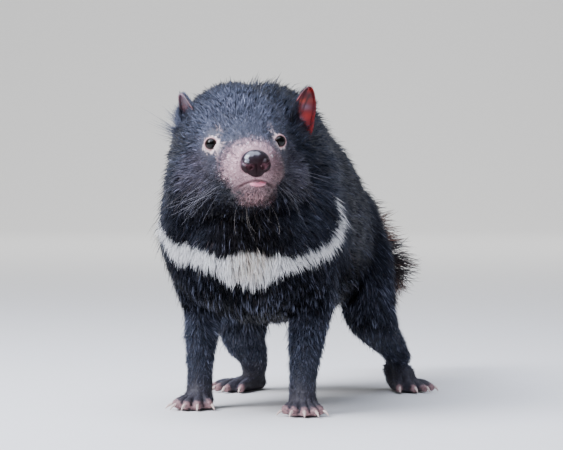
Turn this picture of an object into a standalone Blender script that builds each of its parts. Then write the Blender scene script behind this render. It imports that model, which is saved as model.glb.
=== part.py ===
"""A life-size Tasmanian devil, standing still with its head turned to its left and raised.

The animal faces -Y, its own left side is +X, and it stands on Z = 0. Lengths in the tables below
are in millimetres and are turned to metres where a shape is made. Every surface is that of the
coat, so the solids have the animal's outline with its fur on.
"""

import math
import random

import bmesh
import bpy
from mathutils import Matrix, Vector
from mathutils.bvhtree import BVHTree

MM = 0.001
GAP = 0.3  # between nodes that touch, so that they never overlap
REACH = 400.0  # a size larger than any part, for cutters

# The trunk: station along Y, top, level of the greatest width, underside, half-width.
TRUNK = [
    (-44, 214, 172, 128, 34),
    (-28, 246, 176, 110, 66),
    (5, 276, 180, 98, 86),
    (39, 296, 182, 92, 94),
    (85, 302, 176, 88, 88),
    (145, 298, 168, 86, 83),
    (200, 289, 162, 88, 77),
    (245, 273, 158, 97, 69),
    (290, 251, 158, 114, 56),
    (322, 231, 164, 136, 42),
    (344, 215, 172, 152, 28),
]
# Swellings of the trunk: centre and radii of an egg, on one side or, where x isn't near 0, on both.
BRISKET = ((2, -8, 178), (74, 48, 66))
THROAT = ((2, -16, 204), (60, 40, 46))
RUFF = ((-29, -14, 198), (46, 42, 48))
NAPE = ((8, 58, 256), (60, 100, 71))
SHOULDER = ((56, 36, 192), (36, 50, 66))
HAUNCH = ((34, 266, 172), (37, 66, 54))
# The ridge of the back: station along Y, top, half-width and height.
SPINE = [
    (10, 312, 40, 44),
    (52, 325, 43, 46),
    (98, 321, 44, 46),
    (150, 308, 43, 44),
    (200, 292, 40, 40),
    (245, 274, 36, 36),
    (290, 250, 28, 30),
]
# The neck runs from the shoulders into the back of the skull: centre, half-width, above, below.
NECK = [
    (0, 84, 214, 82, 80, 84),
    (0, 46, 226, 83, 90, 86),
    (-2, 14, 240, 75, 86, 84),
    (-6, -14, 250, 61, 74, 72),
]

# The head has its own axes from the midpoint between the eyes: left, forward and up.
EYE_MIDDLE = (28, -70, 267)
HEAD_YAW = 27.0  # towards the animal's left
HEAD_PITCH = 1.0  # nose up
HEAD_ROLL = 2.3  # left eye up
# Skull and muzzle: station forward of the eyes, top, widest level, underside, half-width.
SKULL = [
    (50, -11, -22, -36, 15),
    (43, -4, -24, -43, 22.5),
    (30, 4, -25, -47, 29),
    (14, 12, -25, -52, 33),
    (-2, 21, -21, -58, 38),
    (-20, 36, -20, -67, 48),
    (-42, 51, -24, -76, 58),
    (-68, 60, -26, -84, 63),
    (-95, 58, -26, -88, 65),
]
JAW = [
    (48, -38, -45, -51, 8),
    (43, -36, -46, -56.5, 14),
    (30, -36, -48, -60, 20),
    (10, -36, -50, -64, 26),
    (-15, -36, -54, -70, 34),
    (-38, -36, -58, -77, 42),
]
CHEEK = ((41, -58, -40), (31, 46, 40))  # centre and radii, on each side
JOWL = ((33, -44, -38), (28, 39, 34))
WHISKER_PAD = ((15.5, 32, -28), (15.5, 19, 15.5))
BROW = ((27, -21, 8), (13, 17, 14))

# The mouth line, seen from above as a fan of directions round a point inside the muzzle.
MOUTH_CENTRE_FORWARD = 12.0
MOUTH_MIDDLE_UP = -37.0
MOUTH_CORNER_DROP = 10.5  # how much lower the line lies beside the muzzle than under the nose
MOUTH_TURN = 55.0  # degrees from the middle to where the line levels out
MOUTH_REACH = 105.0  # degrees from the middle to the corner of the mouth
LIP_RADIUS = 2.5
MOUTH_SLIT = 0.9
JAW_BACK = -5.0  # station where the lower jaw ends, under the eyes

NOSE_CENTRE = (0, 50.5, -21)
NOSE_RADII = (13.8, 9.5, 13.2)
NOSTRIL = ((7.2, 59.5, -24.5), (2.9, 5.0, 2.5))
NOSTRIL_SLIT = ((11.5, 56.0, -22.0), (4.4, 3.2, 1.2))
NOSTRIL_SLIT_TILT = 38.0
PHILTRUM = (0.7, 4.5, 11.0)  # half-width, depth and height of the groove under the nostrils
TONGUE = ((0, 44.5, -40.3), (6.6, 10.0, 2.3))

EYE_ACROSS = 34.0  # from the middle of the face to each eye
EYE_RADIUS = 7.0
EYE_DEPTH = 5.2  # centre of the eyeball under the lids
LID_RING = 6.3
LID_RADIUS = 1.9

EAR_HEIGHT = 48.0
EAR_WIDTH = 32.0
EAR_CUP = 10.0
EAR_WALL = 1.7
# Each ear: base, direction of the tip, direction from its front edge to its back edge.
EARS = {
    "ear_left": ((62, -62, 7), (0.26, -0.14, 0.95), (0.84, -0.50, -0.22)),
    "ear_right": ((-36, -68, 6), (-0.22, -0.20, 0.95), (-0.30, -0.94, -0.12)),
}

# Each limb: centre, half-width across, behind and in front, from the body to the foot.
ARM_RIGHT = [
    (-52, 52, 205, 26, 36, 36),
    (-62, 44, 168, 28, 38, 40),
    (-66, 66, 128, 24, 30, 32),
    (-64, 74, 104, 20.5, 22, 24),
    (-63, 66, 76, 17, 17, 18),
    (-62, 58, 48, 14.5, 14, 14),
    (-61, 54, 28, 13.5, 12, 14),
    (-61, 51, 14, 14, 11, 15),
]
ARM_LEFT = [
    (52, 36, 205, 26, 36, 36),
    (60, 26, 168, 28, 38, 40),
    (61, 44, 128, 24, 30, 32),
    (58, 47, 104, 21.5, 22, 24),
    (57, 36, 76, 18.5, 17, 18),
    (57, 26, 48, 15.5, 14, 14),
    (57, 21, 28, 14, 12, 14),
    (58, 18, 14, 14.5, 11, 15),
]
LEG_RIGHT = [
    (-36, 284, 190, 26, 40, 40),
    (-51, 264, 150, 32, 42, 42),
    (-65, 242, 112, 31, 34, 33),
    (-73, 236, 84, 27.5, 27, 27),
    (-76, 246, 58, 24, 21, 22),
    (-70, 261, 36, 17, 14, 15),
    (-72, 269, 18, 13, 11, 12),
]
LEG_LEFT = [
    (36, 292, 190, 26, 40, 40),
    (50, 276, 150, 31, 42, 40),
    (59, 258, 112, 30, 33, 33),
    (63, 256, 88, 28, 27, 27),
    (68, 278, 66, 21.5, 19, 19),
    (75, 304, 49, 15.5, 13, 14),
    (81, 314, 33, 13, 11, 12),
]
# A foot: heading in degrees to the animal's left, place of the sole's back end, heel height.
FEET = {
    "forefoot_right": {"heading": -4.0, "heel": (-61, 62), "heel_up": 12, "kind": "fore"},
    "forefoot_left": {"heading": 18.0, "heel": (55, 30), "heel_up": 12, "kind": "fore"},
    "hindfoot_right": {"heading": -18.0, "heel": (-70, 283), "heel_up": 11, "kind": "hind"},
    "hindfoot_left": {"heading": 40.0, "heel": (68, 325), "heel_up": 26, "kind": "hind"},
}
# Sole of each kind of foot: distance from the heel, half-width, thickness.
SOLES = {
    "fore": [(0, 13, 22), (12, 15.5, 20), (25, 17.5, 15), (34, 16, 11.5)],
    "hind": [(0, 10, 19), (18, 12.5, 17), (40, 15, 14.5), (54, 14, 11)],
}
# Digits: angle from the foot's axis (inner side negative), where it leaves the sole, its reach.
DIGITS = {
    "fore": [(-50, 22, 27), (-21, 24, 33), (0, 25, 36), (19, 24, 34.5), (40, 21, 29)],
    "hind": [(-17, 44, 64), (-3, 45, 68), (9, 44, 67), (23, 41, 61)],
}
DIGIT_PIVOT = {"fore": 10, "hind": 0}  # where the digits' lines meet, from the heel
DIGIT_RADIUS = {"fore": 4.1, "hind": 4.3}
CLAW_LENGTH = {"fore": 12.5, "hind": 9.5}
CLAW_RADIUS = 2.1

# The tail's core, under its bristles: centre and radius.
TAIL = [
    (1, 322, 204, 26),
    (4, 352, 190, 22),
    (13, 388, 163, 17.5),
    (23, 426, 142, 14),
    (24, 468, 127, 11),
    (14, 506, 118, 7.5),
    (8, 520, 116, 4.5),
]
BRISTLE_ROWS = 7
BRISTLES_ROUND = 6
BRISTLE_LENGTH = (30.0, 46.0)  # from the root of the tail to its end
BRISTLE_WIDTH = 7.0
BRISTLE_THICK = 1.7
BRISTLE_LEAN = (44.0, 38.0)  # degrees from the tail's surface

# Planes that part the nodes: a point and the normal on the side of the first-named part.
HEAD_CUT = ((-2, 8, 250), (0.2, -0.75, 0.63))
NECK_CUT = ((5, 50, 230), (0.10, -0.72, 0.69))
RUMP_CUT = ((0, 205, 150), (0.0, -1.0, 0.0))
TAIL_CUT = ((3, 352, 190), (0.05, -0.93, 0.36))
# A limb's patch on the flank: how far out the cut starts at its foot, its slope and its outline.
ARM_PATCH = {"inner": 33.0, "low": 90.0, "slope": 0.43, "middle": 30.0, "half": 66.0, "top": 178.0}
THIGH_PATCH = {"inner": 32.0, "low": 85.0, "slope": 0.32, "middle": 266.0, "half": 64.0, "top": 176.0}
ELBOW_LEVEL = 112.0
WRIST_LEVEL = 34.0
KNEE_CUTS = {"right": ((-70, 238, 94), (0.0, 0.25, 1.0)), "left": ((60, 256, 98), (0.0, 0.2, 1.0))}
ANKLE_CUTS = {"right": ((-70, 264, 31), (0.0, 0.2, 1.0)), "left": ((78, 309, 42), (0.0, 0.3, 1.0))}

# Triangles that each fused skin may keep.
BUDGET = {"head": 3600, "jaw": 520, "body": 2900, "fore": 640, "hind": 560, "nose": 240}

COLOURS = {
    "black_fur": (0.020, 0.020, 0.024),
    "muzzle_skin": (0.30, 0.19, 0.18),
    "nose_skin": (0.055, 0.028, 0.032),
    "tongue": (0.62, 0.30, 0.34),
    "eye": (0.012, 0.009, 0.008),
    "ear_skin": (0.42, 0.13, 0.12),
    "claw": (0.62, 0.50, 0.47),
    "tail_bristle": (0.045, 0.028, 0.022),
}
ROUGHNESS = {"nose_skin": 0.25, "tongue": 0.3, "eye": 0.05, "claw": 0.4}


def head_axes():
    """The head's left, forward and up directions in the body's frame."""
    yaw, pitch, roll = (math.radians(a) for a in (HEAD_YAW, HEAD_PITCH, HEAD_ROLL))
    left = Vector((math.cos(yaw), math.sin(yaw), 0.0))
    level = Vector((math.sin(yaw), -math.cos(yaw), 0.0))
    forward = level * math.cos(pitch) + Vector((0, 0, 1)) * math.sin(pitch)
    up = -left.cross(forward)
    rolled_left = left * math.cos(roll) + up * math.sin(roll)
    return rolled_left, forward, -rolled_left.cross(forward)


HEAD_LEFT, HEAD_FORWARD, HEAD_UP = head_axes()
HEAD_MATRIX = Matrix((HEAD_LEFT, HEAD_FORWARD, HEAD_UP)).transposed()


def on_head(left, forward, up):
    """A point of the head's own axes, in the body's frame, in millimetres."""
    return Vector(EYE_MIDDLE) + HEAD_MATRIX @ Vector((left, forward, up))


def mirrored(side, place):
    """The same place on the side named, which is 1 for left and -1 for right."""
    return (side * place[0], place[1], place[2])


def spline(rows, steps):
    """More rows through the given ones, along a Catmull-Rom curve."""
    ends = [[2 * a - b for a, b in zip(rows[0], rows[1])], [2 * a - b for a, b in zip(rows[-1], rows[-2])]]
    run = [ends[0], *rows, ends[1]]
    made = []
    for p, q, r, s in zip(run, run[1:], run[2:], run[3:]):
        for i in range(steps):
            t = i / steps
            made.append(
                [
                    0.5 * (2 * b + (c - a) * t + (2 * a - 5 * b + 4 * c - d) * t * t + (3 * b - a - 3 * c + d) * t**3)
                    for a, b, c, d in zip(p, q, r, s)
                ]
            )
    return [*made, list(rows[-1])]


def new_object(name, mesh):
    obj = bpy.data.objects.new(name, mesh)
    bpy.context.scene.collection.objects.link(obj)
    return obj


def object_from(bm, name):
    """A new object holding this bmesh, with its faces pointing out."""
    bmesh.ops.recalc_face_normals(bm, faces=bm.faces)
    mesh = bpy.data.meshes.new(name)
    bm.to_mesh(mesh)
    bm.free()
    return new_object(name, mesh)


def loft(name, rows, side, steps=3, count=28, cap=0.55, heading=None):
    """A closed tube through rows of centre, half-width along side, height above and height below.

    The section's upward direction is side x travel, where travel follows the centres or is the
    heading given. Each end is rounded by cap times its size.
    """
    rows = spline(rows, steps)
    centres = [Vector(r[:3]) for r in rows]
    last = len(rows) - 1
    bm = bmesh.new()
    rings = []

    def add_ring(centre, travel, sizes, scale):
        across = (Vector(side) - travel * travel.dot(Vector(side))).normalized()
        upward = across.cross(travel)
        ring = []
        for i in range(count):
            turn = 2 * math.pi * i / count
            rise = sizes[1] if math.sin(turn) > 0 else sizes[2]
            offset = across * (sizes[0] * math.cos(turn)) + upward * (rise * math.sin(turn))
            ring.append(bm.verts.new((centre + offset * scale) * MM))
        rings.append(ring)

    def add_cap(centre, travel, sizes, outward):
        size = cap * sum(sizes) / 3
        if not cap:
            return
        for share in (0.55, 0.88) if outward > 0 else (0.88, 0.55):
            add_ring(centre + travel * outward * size * share, travel, sizes, math.sqrt(1 - share * share))

    for i, row in enumerate(rows):
        travel = heading or (centres[min(i + 1, last)] - centres[max(i - 1, 0)]).normalized()
        if i == 0:
            add_cap(centres[i], travel, row[3:], -1)
        add_ring(centres[i], travel, row[3:], 1.0)
        if i == last:
            add_cap(centres[i], travel, row[3:], 1)
    for a, b in zip(rings, rings[1:]):
        for i in range(count):
            j = (i + 1) % count
            bm.faces.new((a[i], a[j], b[j], b[i]))
    bm.faces.new(rings[0])
    bm.faces.new(rings[-1])
    return object_from(bm, name)


def egg(name, centre, radii, axes=None, segments=20):
    """An ellipsoid at a place in the body's frame, turned to the given axes."""
    bm = bmesh.new()
    bmesh.ops.create_uvsphere(bm, u_segments=segments, v_segments=segments // 2, radius=1.0)
    turn = axes.to_4x4() if axes else Matrix.Identity(4)
    place = Matrix.Translation(Vector(centre) * MM) @ turn @ Matrix.Diagonal((*(r * MM for r in radii), 1.0))
    bmesh.ops.transform(bm, matrix=place, verts=bm.verts)
    return object_from(bm, name)


def head_egg(name, centre, radii, tilt=0.0, segments=20):
    """An ellipsoid in the head's axes, tilted about the forward axis by tilt degrees."""
    turn = HEAD_MATRIX @ Matrix.Rotation(math.radians(tilt), 3, "Y")
    return egg(name, on_head(*centre), radii, turn, segments)


def evaluated_mesh(obj):
    graph = bpy.context.evaluated_depsgraph_get()
    return bpy.data.meshes.new_from_object(obj.evaluated_get(graph))


def apply_modifiers(obj):
    mesh = evaluated_mesh(obj)
    obj.modifiers.clear()
    obj.data = mesh
    return obj


def discard(*objects):
    for obj in objects:
        bpy.data.objects.remove(obj)


def triangle_count(mesh):
    return sum(len(face.vertices) - 2 for face in mesh.polygons)


def joined(name, objects):
    """One object with the meshes of several, still separate bodies."""
    bm = bmesh.new()
    for obj in objects:
        bm.from_mesh(obj.data)
    mesh = bpy.data.meshes.new(name)
    bm.to_mesh(mesh)
    bm.free()
    return new_object(name, mesh)


def fused(name, shapes, voxel, smoothing, triangles, trims=()):
    """One smooth skin over overlapping shapes, thinned to a number of triangles.

    trims are planes (point, normal in the body's frame); what lies behind each is cut away first.
    """
    obj = joined(name, shapes)
    remesh = obj.modifiers.new("skin", "REMESH")
    remesh.mode = "VOXEL"
    remesh.voxel_size = voxel * MM
    smooth = obj.modifiers.new("soften", "SMOOTH")
    smooth.factor = 0.5
    smooth.iterations = smoothing
    apply_modifiers(obj)
    for point, normal in trims:
        keep_side(obj, point, normal)
    thin(obj, triangles)
    return obj


def thin(obj, triangles):
    """Fewer triangles, kept where the surface bends most."""
    count = triangle_count(obj.data)
    if count > triangles:
        decimate = obj.modifiers.new("thin", "DECIMATE")
        decimate.ratio = triangles / count
        apply_modifiers(obj)
    return obj


def keep_side(obj, point, normal, clearance=0.0):
    """Cuts the object by a plane and keeps the part on the normal's side, closed again."""
    normal = Vector(normal).normalized()
    bm = bmesh.new()
    bm.from_mesh(obj.data)
    bmesh.ops.bisect_plane(
        bm,
        geom=[*bm.verts, *bm.edges, *bm.faces],
        dist=1e-6,
        plane_co=(Vector(point) + normal * clearance) * MM,
        plane_no=normal,
        clear_inner=True,
    )
    open_edges = [edge for edge in bm.edges if edge.is_boundary]
    bmesh.ops.holes_fill(bm, edges=open_edges, sides=0)
    bmesh.ops.triangulate(bm, faces=[face for face in bm.faces if len(face.verts) > 4])
    bm.to_mesh(obj.data)
    bm.free()
    return obj


def parted(obj, first_name, second_name, cut):
    """Two objects from one, with a thin gap along the plane between them."""
    point, normal = cut
    other = new_object(second_name, obj.data.copy())
    obj.name = first_name
    keep_side(obj, point, normal, GAP / 2)
    keep_side(other, point, [-n for n in normal], GAP / 2)
    keep_largest(obj)
    keep_largest(other)
    return obj, other


def boolean(obj, tool, operation, keep_tool=False):
    """Applies a Boolean, exact first, and by the faster solver where that loses the shape."""
    before = obj.data.copy()
    least = 0.01 * closed_volume(before)
    for solver in ("EXACT", "MANIFOLD"):
        modifier = obj.modifiers.new("cut", "BOOLEAN")
        modifier.operation = operation
        modifier.solver = solver
        modifier.object = tool
        apply_modifiers(obj)
        if closed_volume(obj.data) > least:
            break
        obj.data = before.copy()
    else:
        raise ValueError(f"{obj.name}: the cut by {tool.name} left no sound body")
    if not keep_tool:
        discard(tool)
    return obj


def closed_volume(mesh):
    """The volume in a mesh, or 0 where the mesh isn't closed."""
    bm = bmesh.new()
    bm.from_mesh(mesh)
    closed = len(bm.faces) > 0 and all(edge.is_manifold for edge in bm.edges)
    volume = bm.calc_volume() if closed else 0.0
    bm.free()
    return volume


def keep_largest(obj):
    """Keeps the largest closed surface, so that a loose scrap left by a cut goes."""
    bm = bmesh.new()
    bm.from_mesh(obj.data)
    bm.faces.ensure_lookup_table()
    unseen = set(bm.faces)
    groups = []
    while unseen:
        seed = unseen.pop()
        group, edge_of = [seed], [seed]
        while edge_of:
            face = edge_of.pop()
            for edge in face.edges:
                for near in edge.link_faces:
                    if near in unseen:
                        unseen.discard(near)
                        group.append(near)
                        edge_of.append(near)
        groups.append(group)
    groups.sort(key=lambda group: -sum(face.calc_area() for face in group))
    loose = [face for group in groups[1:] for face in group]
    bmesh.ops.delete(bm, geom=loose, context="FACES")
    bm.to_mesh(obj.data)
    bm.free()
    return obj


def grown(obj, by):
    """A copy of the object, larger by a distance all round."""
    copy = new_object(obj.name + "_grown", obj.data.copy())
    swell = copy.modifiers.new("swell", "DISPLACE")
    swell.mid_level = 0.0
    swell.strength = by * MM
    return apply_modifiers(copy)


def trimmed(piece, host, gap=GAP):
    """The piece without what lies in its host, so that its root meets the host's surface."""
    boolean(piece, grown(host, gap), "DIFFERENCE")
    return keep_largest(piece)


def painted(obj, colour):
    """Gives the object its material, and smooth shading with its creases kept."""
    material = bpy.data.materials.get(colour) or bpy.data.materials.new(colour)
    material.use_nodes = True
    shader = material.node_tree.nodes["Principled BSDF"]
    shader.inputs["Base Color"].default_value = (*COLOURS[colour], 1.0)
    shader.inputs["Roughness"].default_value = ROUGHNESS.get(colour, 0.8)
    shader.inputs["Metallic"].default_value = 0.0
    obj.data.materials.clear()
    obj.data.materials.append(material)
    obj.data.shade_smooth()
    obj.data.set_sharp_from_angle(angle=math.radians(50))
    return obj


def trunk_shapes():
    """Trunk, neck and their swellings."""
    rows = [(0, y, level, wide, top - level, level - low) for y, top, level, low, wide in TRUNK]
    shapes = [loft("trunk", rows, (1, 0, 0), steps=4, count=48, heading=Vector((0, 1, 0)))]
    ridge = [(0, y, top - high, wide, high, high) for y, top, wide, high in SPINE]
    shapes.append(loft("spine", ridge, (1, 0, 0), steps=4, count=32, heading=Vector((0, 1, 0))))
    shapes.append(loft("neck", NECK, (-1, 0, 0), steps=4, count=48))
    shapes += [egg("swelling", *spot, segments=32) for spot in (BRISKET, THROAT, RUFF, NAPE)]
    for side in (1, -1):
        shapes += [egg("swelling", mirrored(side, spot[0]), spot[1], segments=32) for spot in (SHOULDER, HAUNCH)]
    return shapes


def head_rows(stations):
    """Rows of a loft along the head's forward axis, from the front backwards."""
    return [(*on_head(0, f, level), wide, top - level, level - low) for f, top, level, low, wide in stations]


def skull_shapes():
    """Skull, muzzle, jaw, cheeks, whisker pads and brows, before the face's details."""
    back = -HEAD_FORWARD
    shapes = [loft("skull", head_rows(SKULL), HEAD_LEFT, steps=4, count=40, cap=0.5, heading=back)]
    shapes.append(loft("jaw", head_rows(JAW), HEAD_LEFT, steps=4, count=32, cap=0.6, heading=back))
    for side in (1, -1):
        for centre, radii in (CHEEK, JOWL, WHISKER_PAD, BROW):
            shapes.append(head_egg("swelling", mirrored(side, centre), radii))
    return shapes


def mouth_level(angle):
    """Height of the mouth line in the head's axes, for a direction seen from above."""
    share = min(1.0, abs(angle) / MOUTH_TURN)
    return MOUTH_MIDDLE_UP - MOUTH_CORNER_DROP * share * share * (3 - 2 * share)


def surface_hit(tree, start, direction):
    """Where a ray from inside a shape leaves it, in millimetres, and the surface's normal there."""
    place, normal, _, _ = tree.ray_cast(Vector(start) * MM, direction)
    return place / MM, normal


def tree_of(obj):
    bm = bmesh.new()
    bm.from_mesh(obj.data)
    tree = BVHTree.FromBMesh(bm)
    bm.free()
    return tree


def lip_shape(tree):
    """A rounded fold that follows the mouth line round the muzzle."""
    rows = []
    for i in range(-14, 15):
        angle = MOUTH_REACH * i / 14
        turn = math.radians(angle)
        start = on_head(0, MOUTH_CENTRE_FORWARD, mouth_level(angle))
        place, _ = surface_hit(tree, start, HEAD_MATRIX @ Vector((math.sin(turn), math.cos(turn), 0)))
        taper = 1.0 - 0.55 * (abs(i) / 14) ** 2
        inward = (start - place).normalized() * 0.6
        rows.append((*(place + inward), LIP_RADIUS * taper, LIP_RADIUS * taper, LIP_RADIUS * taper))
    return loft("lips", rows, HEAD_UP, steps=2, count=12, cap=0.8)


def eye_places(tree):
    """For each side, the centre of the lids' opening and the direction that the eye looks."""
    places = {}
    for side in (1, -1):
        start = on_head(side * 12, -34, -6)
        aim = (on_head(side * EYE_ACROSS, 0, 0) - start).normalized()
        place, normal = surface_hit(tree, start, aim)
        outward = HEAD_MATRIX @ Vector((side * 0.50, 0.84, 0.20))
        places[side] = (place, (normal + outward).normalized())
    return places


def facing(direction):
    """Axes whose third one is this direction, with the first one level along the head."""
    across = HEAD_UP.cross(direction).normalized()
    return Matrix((across, direction.cross(across), direction)).transposed()


def lid_shape(place, direction):
    """The swollen rim of the lids, an almond ring round the eye."""
    axes = facing(direction)
    rows = []
    for i in range(25):
        turn = 2 * math.pi * i / 24
        offset = axes @ Vector((LID_RING * 1.18 * math.cos(turn), LID_RING * 0.98 * math.sin(turn), 0.3))
        rows.append((*(place + offset), LID_RADIUS, LID_RADIUS, LID_RADIUS))
    return loft("lids", rows, direction, steps=1, count=10, cap=0.3)


def nose_pad():
    """The bare pad at the end of the muzzle, before its nostrils are cut."""
    _, forward, up = NOSE_CENTRE
    wide, deep, high = NOSE_RADII
    shapes = [
        head_egg("pad", (0, forward - 2, up + 2), (wide, deep, high * 0.82)),
        head_egg("pad_foot", (0, forward - 1, up - 4), (wide * 0.72, deep * 0.92, high * 0.72)),
        head_egg("pad_top", (0, forward - 5, up + 4), (wide * 0.86, deep, high * 0.66)),
    ]
    for side in (1, -1):
        wing = (side * wide * 0.60, forward + 0.5, up - 1.5)
        shapes.append(head_egg("wing", wing, (wide * 0.42, deep * 0.80, high * 0.55)))
    nose = fused("nose", shapes, 0.7, 6, BUDGET["nose"])
    discard(*shapes)
    return nose


def open_nostrils(nose):
    """Cuts the two slit nostrils and the groove below them."""
    _, forward, up = NOSE_CENTRE
    for side in (1, -1):
        centre, radii = NOSTRIL
        boolean(nose, head_egg("nostril", mirrored(side, centre), radii, segments=12), "DIFFERENCE")
        centre, radii = NOSTRIL_SLIT
        tilt = side * NOSTRIL_SLIT_TILT
        boolean(nose, head_egg("slit", mirrored(side, centre), radii, tilt, 10), "DIFFERENCE")
    half, depth, height = PHILTRUM
    place = (0, forward + NOSE_RADII[1], up - height * 0.7)
    groove = head_egg("groove", place, (half, depth, height * 0.62), segments=8)
    boolean(nose, groove, "DIFFERENCE")
    return keep_largest(nose)


def jaw_region():
    """Everything under the mouth line and in front of the jaw's back end."""
    bm = bmesh.new()
    low = MOUTH_MIDDLE_UP - 70
    columns = []
    for i in range(-16, 17):
        across = 56.0 * i / 16
        level = mouth_level(math.degrees(math.atan2(across, 30.0)))
        columns.append((across, level))
    rings = []
    for forward in (JAW_BACK, 90.0):
        ring = [bm.verts.new(on_head(across, forward, level) * MM) for across, level in columns]
        ring.append(bm.verts.new(on_head(columns[-1][0], forward, low) * MM))
        ring.append(bm.verts.new(on_head(columns[0][0], forward, low) * MM))
        rings.append(ring)
    count = len(rings[0])
    for i in range(count):
        j = (i + 1) % count
        bm.faces.new((rings[0][i], rings[0][j], rings[1][j], rings[1][i]))
    bm.faces.new(rings[0])
    bm.faces.new(rings[1])
    return object_from(bm, "jaw_region")


def make_head(body_shapes):
    """Head, lower jaw, nose, tongue and eyes."""
    skull = skull_shapes()
    point, normal = HEAD_CUT
    behind = Vector(point) - Vector(normal).normalized() * 22
    rough = fused("rough_head", skull, 2.0, 4, 9000)
    tree = tree_of(rough)
    eyes = eye_places(tree)
    details = [lip_shape(tree)]
    details += [lid_shape(*eyes[side]) for side in (1, -1)]
    head = fused("head", [*skull, *body_shapes, *details], 1.25, 4, BUDGET["head"], [(behind, normal)])
    keep_side(head, point, normal, GAP / 2)
    discard(rough, *skull, *details)

    nose = nose_pad()
    boolean(head, grown(nose, GAP), "DIFFERENCE")
    open_nostrils(nose)
    tongue = head_egg("tongue", *TONGUE, segments=12)
    nodes = {"nose": nose, "tongue": tongue}
    for side, name in ((1, "eye_left"), (-1, "eye_right")):
        place, direction = eyes[side]
        centre = place - direction * EYE_DEPTH
        axes = facing(direction)
        socket = egg("socket", centre, [EYE_RADIUS + GAP] * 3, axes)
        boolean(head, socket, "DIFFERENCE")
        nodes[name] = egg(name, centre, [EYE_RADIUS] * 3, axes, segments=14)
    region = jaw_region()
    jaw = new_object("lower_jaw", head.data.copy())
    boolean(jaw, region, "INTERSECT", keep_tool=True)
    thin(keep_largest(jaw), BUDGET["jaw"])
    boolean(head, grown(region, MOUTH_SLIT), "DIFFERENCE")
    discard(region)
    for part in (head, jaw):
        boolean(part, grown(tongue, GAP), "DIFFERENCE")
        keep_largest(part)
    nodes["head"] = head
    nodes["lower_jaw"] = jaw
    return nodes


def make_ear(name, head):
    """A cupped shell with a rounded tip, its root cut to the head's surface."""
    base, tip, back = EARS[name]
    tip = (HEAD_MATRIX @ Vector(tip)).normalized()
    back = HEAD_MATRIX @ Vector(back)
    back = (back - tip * back.dot(tip)).normalized()
    hollow = back.cross(tip) if name == "ear_left" else tip.cross(back)
    rows, columns = 10, 9
    bm = bmesh.new()
    grid = []
    for i in range(rows):
        rise = i / (rows - 1)
        round_tip = math.sqrt(1 - (rise * 0.996) ** 3.2)
        half = EAR_WIDTH / 2 * round_tip * (0.80 + 0.76 * rise * (1 - rise))
        line = []
        for j in range(columns):
            share = 2 * j / (columns - 1) - 1
            depth = EAR_CUP * (1 - share * share) * (1 - 0.86 * rise**1.6) - 2.0 * rise
            flare = 2.5 * share * share * rise
            offset = back * (half * share) + tip * (EAR_HEIGHT * rise - 12 * (1 - rise) * share * (1 - rise))
            line.append(bm.verts.new((on_head(*base) + offset + hollow * (flare - depth)) * MM))
        grid.append(line)
    for a, b in zip(grid, grid[1:]):
        for j in range(columns - 1):
            bm.faces.new((a[j], a[j + 1], b[j + 1], b[j]))
    ear = object_from(bm, name)
    wall = ear.modifiers.new("wall", "SOLIDIFY")
    wall.thickness = EAR_WALL * MM
    wall.offset = 0.0
    apply_modifiers(ear)
    return trimmed(ear, head)


def foot_axes(foot):
    heading = math.radians(foot["heading"])
    forward = Vector((math.sin(heading), -math.cos(heading), 0.0))
    return forward, Vector((math.cos(heading), math.sin(heading), 0.0))


def digit_lines(foot, side):
    """For each digit, its points from the sole to the tip and its level direction."""
    forward, left = foot_axes(foot)
    outer = left * side
    kind = foot["kind"]
    heel = Vector((*foot["heel"], 0.0))
    pivot = heel + forward * DIGIT_PIVOT[kind]
    radius = DIGIT_RADIUS[kind]
    lines = []
    for angle, start, reach in DIGITS[kind]:
        turn = math.radians(angle)
        aim = forward * math.cos(turn) + outer * math.sin(turn)
        reach_here = reach - (DIGIT_PIVOT[kind] if kind == "fore" else 0) * 0.25
        points = [
            (pivot + aim * (start - 8)) + Vector((0, 0, radius * 2.3)),
            (pivot + aim * (start + (reach_here - start) * 0.45)) + Vector((0, 0, radius * 2.05)),
            (pivot + aim * reach_here) + Vector((0, 0, radius * 0.98)),
        ]
        lines.append((points, aim))
    return lines


def make_foot(name, limb_shape, cut, side):
    """One foot with its digits fused on, flat underneath, and the claws that grow from it."""
    foot = FEET[name]
    kind = foot["kind"]
    forward, left = foot_axes(foot)
    heel = Vector((*foot["heel"], 0.0))
    rows = []
    for along, half, thick in SOLES[kind]:
        lift = foot["heel_up"] * max(0.0, 1 - along / 36) ** 1.2 if kind == "hind" else 0.0
        centre = heel + forward * along + Vector((0, 0, thick * 0.45 + max(0.0, lift - 10)))
        rows.append((*centre, half, thick * 0.55, thick * 0.62))
    shapes = [limb_shape, loft("sole", rows, left, steps=3, count=24, cap=0.6)]
    radius = DIGIT_RADIUS[kind]
    lines = digit_lines(foot, side)
    for points, _ in lines:
        sizes = (radius * 1.1, radius, radius)
        rows = [(*p, *(s * grow for s in sizes)) for p, grow in zip(points, (1.1, 1.12, 0.98))]
        shapes.append(loft("digit", rows, (0, 0, 1), steps=4, count=14, cap=0.8))
    point, normal = cut
    above = Vector(point) + Vector(normal).normalized() * 18
    skin = fused(name, shapes, 1.05, 3, BUDGET[kind], [(above, [-n for n in normal])])
    keep_side(skin, point, [-n for n in normal], GAP / 2)
    keep_side(skin, (0, 0, 0), (0, 0, 1))
    keep_largest(skin)
    discard(*shapes[1:])
    claws = {}
    for number, (points, aim) in enumerate(lines, 1):
        claw_name = name.replace("foot", "claw") + f"_{number}"
        claws[claw_name] = make_claw(claw_name, points[-1], aim, kind, skin)
    return {name: skin, **claws}


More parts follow.
